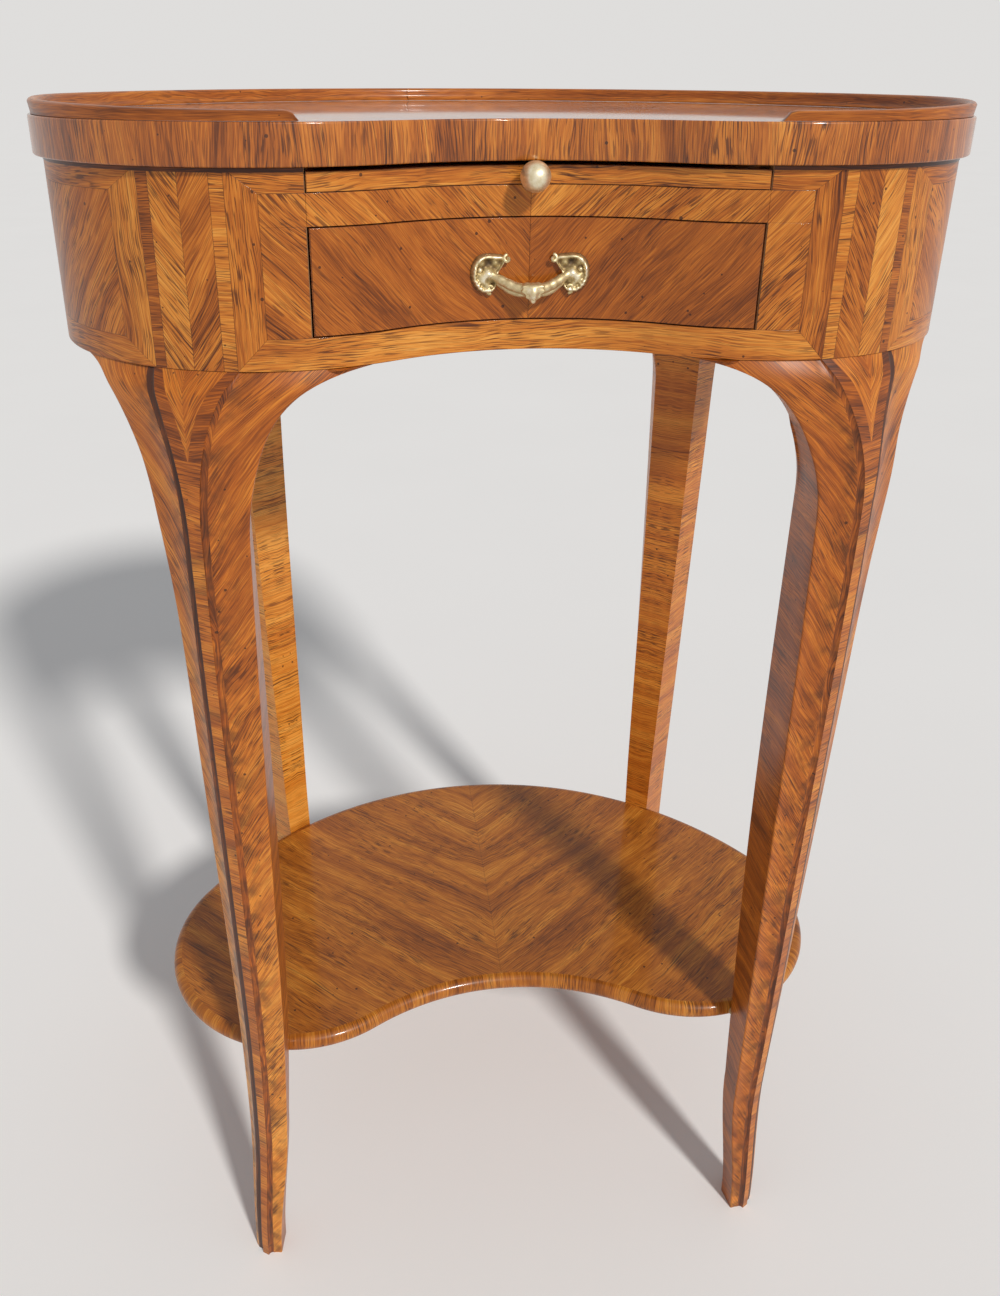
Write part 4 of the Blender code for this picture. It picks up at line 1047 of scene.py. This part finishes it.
    def veneer(self):
        """Flank, hollow, side and back, then the strip and its shield."""
        leg, lines = self.leg, self.lines
        # painted light: the outer flanks are toned paler than the inner ones, standing for sun on the outer
        # flank
        flank_tone = 0.45 if self.inner else 0.55
        # painted shade: the hollows beside the strip are toned dark and heavily waxed, standing for the
        # strip's shadow in the groove
        hollow_shade_tone = 0.34 if self.inner else (0.13 if leg.rear else 0.03)
        wax_reach = 0.008
        across = way_along(*lines["flank"])
        low = rise(1.2 - leg.z / 0.5)
        self.lay(*lines["flank"], math.radians(56), flank_tone + leg.fade * low, self.sign, across,
                 wax=bell(across / wax_reach))
        self.lay(*lines["hollow"], math.pi / 2, hollow_shade_tone, 5, wax=0.9)
        self.lay(*lines["side"], 0.0, leg.plain, 7 + self.sign, way_along(*lines["side"]))
        self.lay(*lines["back"], 0.0, leg.plain, 9)
        self.lay_strip(*lines["strip"])
        self.lay_shield()

    def lay_strip(self, q, n):
        """Short cross-grain lengths up the strip, with a dark joint at both ends of each."""
        leg, rows, joint_shade, slope = self.leg, self.leg.z[:, 0], 0.55, 0.05
        points = leg.place(self.sign * q, n)
        for k, tone in enumerate(STRIP_TONES):
            keep = (rows >= STRIP_CUTS[k] - SAME_HEIGHT) & (rows <= STRIP_CUTS[k + 1] + SAME_HEIGHT)
            joint = np.ones(q[keep].shape)
            joint[0] = joint[-1] = joint_shade
            grain = turned(self.sign * q, leg.z, slope, leg.seed + 20 + k)
            leg.skin.add(points[keep], grain[keep], tone, joint, flip=self.flip)

    def lay_shield(self):
        """Half of the shield: a leaf that narrows to a point, inside a dark band."""
        leg, foot = self.leg, STRIP_CUTS[-1]
        keep = leg.z[:, 0] >= foot - SAME_HEIGHT
        least, band_width, taper = 0.0002, 0.0048, 0.6
        point = np.clip((leg.z - foot) / (FRIEZE_FOOT - foot), 0.0, 1.0) ** taper
        leaf = least + np.maximum(self.strip - band_width, 0.0) * point
        u = even(5)
        for q, angle, tone, more in ((leaf * u, math.radians(62), 0.52 if self.inner else 0.60, 31),
                                     (leaf + (self.strip - leaf) * u, 0.15, 0.30, 33)):
            grain = turned(q, leg.z, angle, leg.seed + more)
            leg.skin.add(leg.place(self.sign * q, self.front(q))[keep], grain[keep], tone, flip=self.flip)


def legs():
    """Four legs, each with its two ears."""
    for mirror, hand in ((False, "right"), (True, "left")):
        front = Leg(False, mirror, seed=71 if mirror else 111, lean=0.0035, plain=0.42,
                    fade=0.30 if mirror else 0.06)
        front.piece("leg_front_%s_veneered" % hand,
                    ("leg_front_" + hand, "ear_front_front_" + hand, "ear_front_side_" + hand))
        # painted light: the rear left leg's sides and back are toned paler than the rear right leg's,
        # standing for the sun that falls on it
        rear = Leg(True, mirror, seed=151 if mirror else 191, lean=-0.0055 if mirror else -0.0020,
                   plain=0.80 if mirror else 0.62, fade=0.13)
        rear.piece("leg_rear_%s_veneered" % hand,
                   ("leg_rear_" + hand, "ear_rear_back_" + hand, "ear_rear_side_" + hand))


# Brass

# Height of the pull's middle, x of its plates, and how far their backs and faces stand off the drawer
PULL_Z = 0.66435
PLATE_X = 0.0208
PLATE_BACK, PLATE_FACE = 0.00045, 0.0005


def tube(skin, path, radii, tone, sides=14):
    """Round bar along a path, with a radius at each point; its ends are closed to a point."""
    path = np.array(path, float)
    ahead = np.gradient(path, axis=0)
    ahead /= np.linalg.norm(ahead, axis=1)[:, None]
    up = np.array((0.0, 0.0, 1.0)) - ahead * ahead[:, 2:]
    too_steep = np.linalg.norm(up, axis=1)[:, None] < 0.2
    up = np.where(too_steep, np.array((0.0, -1.0, 0.0)), up)
    up /= np.linalg.norm(up, axis=1)[:, None]
    side = np.cross(ahead, up)
    a = circle(sides + 1)[..., None]
    r = np.array(radii, float)[:, None, None]
    grid = path[:, None] + r * (np.cos(a) * up[:, None] + np.sin(a) * side[:, None])
    first, last = (np.broadcast_to(path[end], grid[:1].shape) for end in (0, -1))
    grid = np.concatenate([first, grid, last])
    skin.add(grid, tone=tone)


def on_drawer(x, out, z):
    """Point in front of the drawer's hollow face: x across, out from the face, z above the pull's middle."""
    px, py = FRIEZE.at(x, out)
    return stack(px, py, PULL_Z + z)


# Shell plate's outline as (angle, radius in mm): 0 points to the drawer's end, 90 up, 180 to its middle
PLATE_EDGE = ((0, 9.3), (30, 9.6), (60, 9.9), (90, 9.3), (112, 9.6), (130, 11.2), (141, 12.0), (149, 10.2),
              (158, 6.6), (172, 5.0), (190, 4.8), (210, 5.2), (228, 6.2), (243, 8.4), (262, 10.0),
              (285, 10.3), (310, 9.9), (335, 9.4), (360, 9.3))
# Heights of the shell's floor, rim, ripples and knots, then places on its radius as shares
SHELL_FLOOR, SHELL_RIM, SHELL_RIPPLE, SHELL_KNOT = 0.0011, 0.0024, 0.0007, 0.0008
SHELL_RIM_AT, SHELL_RIPPLE_AT, SHELL_SPREAD = 0.84, 0.55, 0.13
# Swellings on the shell: height, then middle and spread in x and in z
BOSS = (0.0016, 0.0022, 0.0022, -0.0010, 0.0027)
BOW_ROOT = (0.0030, -0.0015, 0.0040, -0.0008, 0.0026)
FOLD = (0.0012, 0.0030, 0.0022, -0.0042, 0.0018)


def plate_edge(a):
    """Radius of the shell plate's outline at angle a, eased between the listed places."""
    places, radii = np.array(PLATE_EDGE).T
    spot = np.degrees(a) % 360
    near = [np.interp((spot + turn) % 360, places, radii) for turn in (-8, -4, 0, 4, 8)]
    return sum(near) / len(near) / 1000


def swelling(px, pz, height, x, x_spread, z, z_spread):
    """Hump of the given height round (x, z)."""
    return height * bell((px - x) / x_spread, (pz - z) / z_spread)


def shell_plate(skin, sign):
    """Hollow shell: a height over rings shrunk from the plate's outline.

    The height is a raised serrated rim with ripples inside it, a boss, the
    swelling where the bow grows out, a fold and small knots. The tone follows it.
    """
    rho = np.r_[np.linspace(0, 0.92, 23), 0.95, 0.98, 1.0][:, None]
    a = circle(181)
    turn = np.degrees(a)
    lobes = (0.5 + 0.5 * np.cos(23 * a + 0.6 * sign)) * bell(((turn + 230) % 360 - 190) / 80)
    rimmed = 1 - 0.9 * bell((turn - 190) / 34)
    edge = plate_edge(a) * (1 - 0.035 * lobes * rimmed)
    px, pz = rho * edge * np.cos(a), rho * edge * np.sin(a)
    rim = SHELL_RIM * bell((rho - SHELL_RIM_AT) / SHELL_SPREAD) * rimmed * (0.86 + 0.14 * lobes)
    waves = 0.5 + 0.5 * np.cos(5 * a + 0.8)
    ripple = SHELL_RIPPLE * waves * rimmed * bell((rho - SHELL_RIPPLE_AT) / SHELL_SPREAD)
    boss, root, fold = (swelling(px, pz, *form) for form in (BOSS, BOW_ROOT, FOLD))
    knots = SHELL_KNOT * np.sin(880 * px + 1.1) * np.sin(790 * pz + 0.5) * (1 - rho ** 4)
    high = SHELL_FLOOR + rim + ripple + boss + root + fold + knots
    tone = np.clip(0.12 + (high - 0.0009) / 0.0030, 0.0, 1.0)
    high = high * np.where(rho > 0.93, np.sqrt(np.clip((1.0 - rho) / 0.07, 0, 1)), 1.0)
    x = sign * (PLATE_X + px)
    back = on_drawer(x[-1:], PLATE_BACK, pz[-1:])
    middle = np.broadcast_to(on_drawer(np.array([[sign * PLATE_X]]), PLATE_BACK, 0.0), back.shape)
    grid = np.concatenate([on_drawer(x, PLATE_FACE + high, pz), back, middle])
    tone = np.concatenate([tone, tone[-1:] * 0, tone[-1:] * 0])
    skin.add(grid, tone=tone, flip=sign < 0)


def curls(skin, sign):
    """Spirals at the rim's ends: a curl at the upper inner end and a lip at the lower end."""
    t, start_out = np.linspace(0, 1, 40), 0.0020
    for x, z, radius, shrink, start, sweep, out, thick, thin, tone in (
            (-0.0090, 0.0068, 0.0018, 0.72, 2.0, -6.6, 0.0022, 0.0011, 0.25, 0.78),
            (-0.0008, -0.0074, 0.0026, 0.55, -1.9, 4.4, 0.0012, 0.0010, 0.3, 0.66)):
        curl, angle = radius * (1 - shrink * t), start + sweep * t
        path = on_drawer(sign * (PLATE_X + x + curl * np.cos(angle)), start_out + out * t,
                         z + curl * np.sin(angle))
        tube(skin, path, thick * (1 - thin * t) * rise(t * 9 + 0.3), tone, sides=10)


def pin_head(skin, sign):
    """Domed head of the pin in the shell's hollow, closed behind."""
    radius, x, z, foot_out, high = 0.0015, PLATE_X + 0.0046, 0.0016, 0.0010, 0.0021
    b, c = np.linspace(0, math.pi / 2, 6)[:, None], circle(17)
    dome = on_drawer(sign * (x + radius * np.cos(b) * np.cos(c)), foot_out + high * np.sin(b),
                     z + radius * np.cos(b) * np.sin(c))
    skin.add(dome, tone=0.9, flip=sign > 0)
    foot = np.broadcast_to(dome[:1].mean(1, keepdims=True), dome[:1].shape)
    skin.add(np.concatenate([foot, dome[:1]]), tone=0.2, flip=sign > 0)


def bow_arm(skin, sign):
    """Arm of the bow: out, down and in from the plate's swelling, with a second rib below it."""
    t = np.linspace(0, 1, 46)
    reach, start_out, out, start_z, down = 0.0196, 0.0026, 0.0094, -0.0006, 0.0058
    for lower, radius in ((0.0, 0.0025), (0.0030, 0.0016)):
        path = on_drawer(sign * reach * (1 - t),
                         start_out + out * np.sin(t * math.pi / 2) ** 1.2 - 0.35 * lower,
                         start_z - down * np.sin(np.clip(t / 0.82, 0, 1) * math.pi / 2)
                         - lower * np.sin(math.pi * t) ** 0.7)
        beading = 1 + 0.04 * np.cos(30 * t)
        swell = radius * (0.8 + 0.2 * rise(3 * t) + 0.3 * rise((t - 0.62) / 0.25)) * beading
        tube(skin, path, swell, 0.72)


def bow_leaf(skin):
    """Leaf at the bow's middle: a lobed flat egg over a round drop."""
    v, c = np.linspace(0, math.pi, 31)[:, None], circle(49)
    wide = 0.0056 * np.sin(v) ** 0.75 * (1 + 0.55 * np.cos(v)) * (1 + 0.10 * np.cos(9 * v))
    thick = 0.0026 * np.sin(v) * (1 + 0.3 * np.cos(4 * c) * np.sin(v))
    leaf_out, leaf_z, leaf_half = 0.0142, -0.0078, 0.0044
    leaf = on_drawer(wide * np.cos(c), leaf_out + thick * np.sin(c), leaf_z + leaf_half * np.cos(v))
    skin.add(leaf, tone=0.62 + 0.25 * np.sin(c) * np.sin(v))
    drop, drop_out, drop_z = 0.0016, 0.0146, -0.0113
    ball = on_drawer(drop * np.sin(v) * np.cos(c), drop_out + drop * np.sin(v) * np.sin(c),
                     drop_z + drop * np.cos(v))
    skin.add(ball, tone=0.9)


def drawer_pull():
    """Cast pull: two shell plates with their curls and pins, a bow and a hanging leaf."""
    skin = Skin()
    for sign in (1, -1):
        shell_plate(skin, sign)
        curls(skin, sign)
        pin_head(skin, sign)
        bow_arm(skin, sign)
    bow_leaf(skin)
    skin.piece("drawer_pull", BRASS, "drawer", "aged_brass",
               replaces=("handle", "handle_pin_left", "handle_pin_right"), sharp=60)


def slide_knob():
    """Egg-shaped knob turned round a line out of the slide: pin, collar, neck, egg as (way out, radius)."""
    reach, radius, middle, front_half, back_half = 0.021, 0.0072, 0.0118, 0.0092, 0.0088
    pin_end, pin, face = -0.010, 0.0016, 0.0002
    a = np.linspace(-1.12, math.pi / 2, 22)
    egg = np.c_[middle + np.where(a > 0, front_half, back_half) * np.sin(a), radius * np.cos(a) ** 0.92]
    stem = np.array([(pin_end, 0.0), (pin_end, pin), (face, pin), (face, 0.0044), (0.0008, 0.0048),
                     (0.0014, 0.0045), (0.0019, 0.0036), (0.0027, 0.0031)])
    profile = np.r_[stem, egg]
    c = circle(49)
    far, girth = profile[:, :1], np.maximum(profile[:, 1:], 0)
    height = (SLIDE_UNDER + SLIDE_TOP) / 2
    grid = stack(girth * np.cos(c), FACE_Y - far, height + girth * np.sin(c))
    places, tones = (0.0, 0.0019, 0.0045, 0.008, reach), (0.25, 0.2, 0.45, 0.85, 0.95)
    tone = np.interp(profile[:, 0], places, tones)
    skin = Skin()
    skin.add(grid, tone=tone[:, None])
    skin.piece("slide_knob_turned", BRASS, "slide", "aged_brass", replaces=("slide_knob",), sharp=40)


# Boards that stay as solids

def dress_boards():
    """Materials for the solids that stay in view, by the starts of their names."""
    core = {axis: bare_board("core_wood_" + axis, CORE_STOPS, axis) for axis in "xy"}
    lining = {axis: bare_board("lining_oak_" + axis, LINING_STOPS, axis) for axis in "xy"}
    slide = polished_board("slide_top_polish", "x", coat=0.3, tone=0.48)
    front = polished_board("drawer_core_polish", "x", coat=0.2, tone=0.36, stripe=0.4)
    lined = ("drawer_side", "drawer_runner", "drawer_guide", "slide_runner", "slide_guide", "dowel")
    looks = (
        (lined, lining["y"]),
        (("drawer_bottom", "drawer_back", "drawer_stop", "top_block"), lining["x"]),
        ("slide_", slide),
        (("drawer_front", "drawer_divider", "front_bottom"), front),
        ("side_panel", core["y"]),
        ("", core["x"]),
    )
    for name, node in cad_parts.items():
        look = next(look for starts, look in looks if name.startswith(starts))
        if node.material_slots:
            for slot in node.material_slots:
                slot.material = look
        else:
            node.data.materials.append(look)


def runner_tongues():
    """Front ends of the drawer's runners, carried on to the front panels: an oblong bar along y."""
    look = bare_board("runner_tongue_oak", LINING_STOPS, "y")
    inner, outer, under, over, front, back = 0.1056, 0.1125, 0.6372, 0.6402, -0.1430, -0.0846
    for sign, hand in ((1, "right"), (-1, "left")):
        x = sign * np.array((inner, outer, outer, inner, inner))
        z = np.array((under, under, over, over, under))
        grid = stack(x, np.array((front, back))[:, None], z)
        skin = Skin()
        skin.add(grid, flip=sign > 0)
        for end in (0, 1):
            skin.cap(grid[end])
        skin.piece("runner_tongue_" + hand, look, "carcass", "lining_wood")


# Camera, floor and light

# The photograph's frame, focal length and middle in pixels, the sensor in mm, and the camera's place and turn
FRAME_WIDE, FRAME_TALL = 1000, 1296
FOCAL, MIDDLE_X, MIDDLE_Y = 1067.65, 464.65, 535.10
SENSOR = 36.0
EYE = (-0.08618, -0.6582, 0.75609)
YAW, PITCH, ROLL = 0.10345, -0.41217, 0.00465


def camera():
    """Camera at the photograph's place: yaw right, pitch down and a little roll."""
    yaw, pitch, roll = YAW, PITCH, ROLL
    ahead = np.array((math.sin(yaw) * math.cos(pitch), math.cos(yaw) * math.cos(pitch), math.sin(pitch)))
    right = np.array((math.cos(yaw), -math.sin(yaw), 0.0))
    up = np.cross(right, ahead)
    data = bpy.data.cameras.new("camera")
    item = in_scene("camera", data)
    data.sensor_width = SENSOR
    data.lens = FOCAL * SENSOR / FRAME_TALL
    data.shift_x = (FRAME_WIDE / 2 - MIDDLE_X) / FRAME_TALL
    data.shift_y = (MIDDLE_Y - FRAME_TALL / 2) / FRAME_TALL
    data.clip_start = 0.01
    place = np.eye(4)
    place[:3, 0] = math.cos(roll) * right + math.sin(roll) * up
    place[:3, 1] = math.cos(roll) * up - math.sin(roll) * right
    place[:3, 2] = -ahead
    place[:3, 3] = EYE
    item.matrix_world = Matrix(place.tolist())
    bpy.context.scene.camera = item


SUN, SUN_COLOUR, SUN_WAY = 2.35, (1.0, 0.965, 0.92), (0.344, -0.724, 0.598)
SUN_ANGLE, SUN_DISTANCE = 0.11, 3
SKY, SKY_COLOUR = 0.34, (0.97, 0.98, 1.0)
PAPER, PAPER_SWING = 0.95, 0.006
FLOOR_RINGS = (0.0, 0.4, 1.0, 2.5, 8.0, 40.0)


def studio():
    """Pale paper floor, one broad soft key from the front right and an even surround.

    The backdrop is the colour that the far floor renders to, so no horizon shows.
    """
    r, a = np.array(FLOOR_RINGS)[:, None], circle(97)
    grid = stack(r * np.cos(a), r * np.sin(a), 0.0)
    mesh = bpy.data.meshes.new("floor")
    mesh.from_pydata(grid.reshape(-1, 3).tolist(), [], grid_quads(*grid.shape[:2])[:, ::-1].tolist())
    floor = in_scene("floor", mesh)
    look, n, shader = new_look("floor_paper")
    cloud = n.noise(n.node("ShaderNodeTexCoord").outputs["Object"], 3.0, 3.0, dims="3D")
    dim, bright = (PAPER - PAPER_SWING,) * 3, (PAPER + PAPER_SWING,) * 3
    n.fill(shader, Base_Color=n.ramp(cloud, ((0.3, dim), (0.7, bright))), Roughness=1.0,
           Specular_IOR_Level=0.0)
    mesh.materials.append(look)

    data = bpy.data.lights.new("key", "SUN")
    data.energy, data.color, data.angle = SUN, SUN_COLOUR, SUN_ANGLE
    key = in_scene("key", data)
    way = np.array(SUN_WAY) / np.linalg.norm(SUN_WAY)
    side = np.cross((0, 0, 1), way)
    side /= np.linalg.norm(side)
    m = np.eye(4)
    m[:3, 0], m[:3, 1], m[:3, 2], m[:3, 3] = side, np.cross(way, side), way, SUN_DISTANCE * way
    key.matrix_world = Matrix(m.tolist())

    world = bpy.data.worlds.new("studio")
    bpy.context.scene.world = world
    world.use_nodes = True
    n = Nodes(world.node_tree)
    back = world.node_tree.nodes["Background"]
    path = n.node("ShaderNodeLightPath")
    seen = n.math("MAXIMUM", path.outputs["Is Camera Ray"], path.outputs["Is Transmission Ray"])
    seen = n.math("MAXIMUM", seen, path.outputs["Is Glossy Ray"])
    sky = SKY * np.array(SKY_COLOUR)
    paper = PAPER * (SUN * way[2] / math.pi * np.array(SUN_COLOUR) + sky)
    n.put(back.inputs["Color"], n.mix(seen, tuple(map(float, sky)), tuple(map(float, paper))))
    bpy.context.scene.view_settings.view_transform = "Standard"


camera()
studio()
dress_boards()
runner_tongues()
frieze_veneers()
top_piece()
galleries()
undertier()
legs()
drawer_pull()
slide_knob()
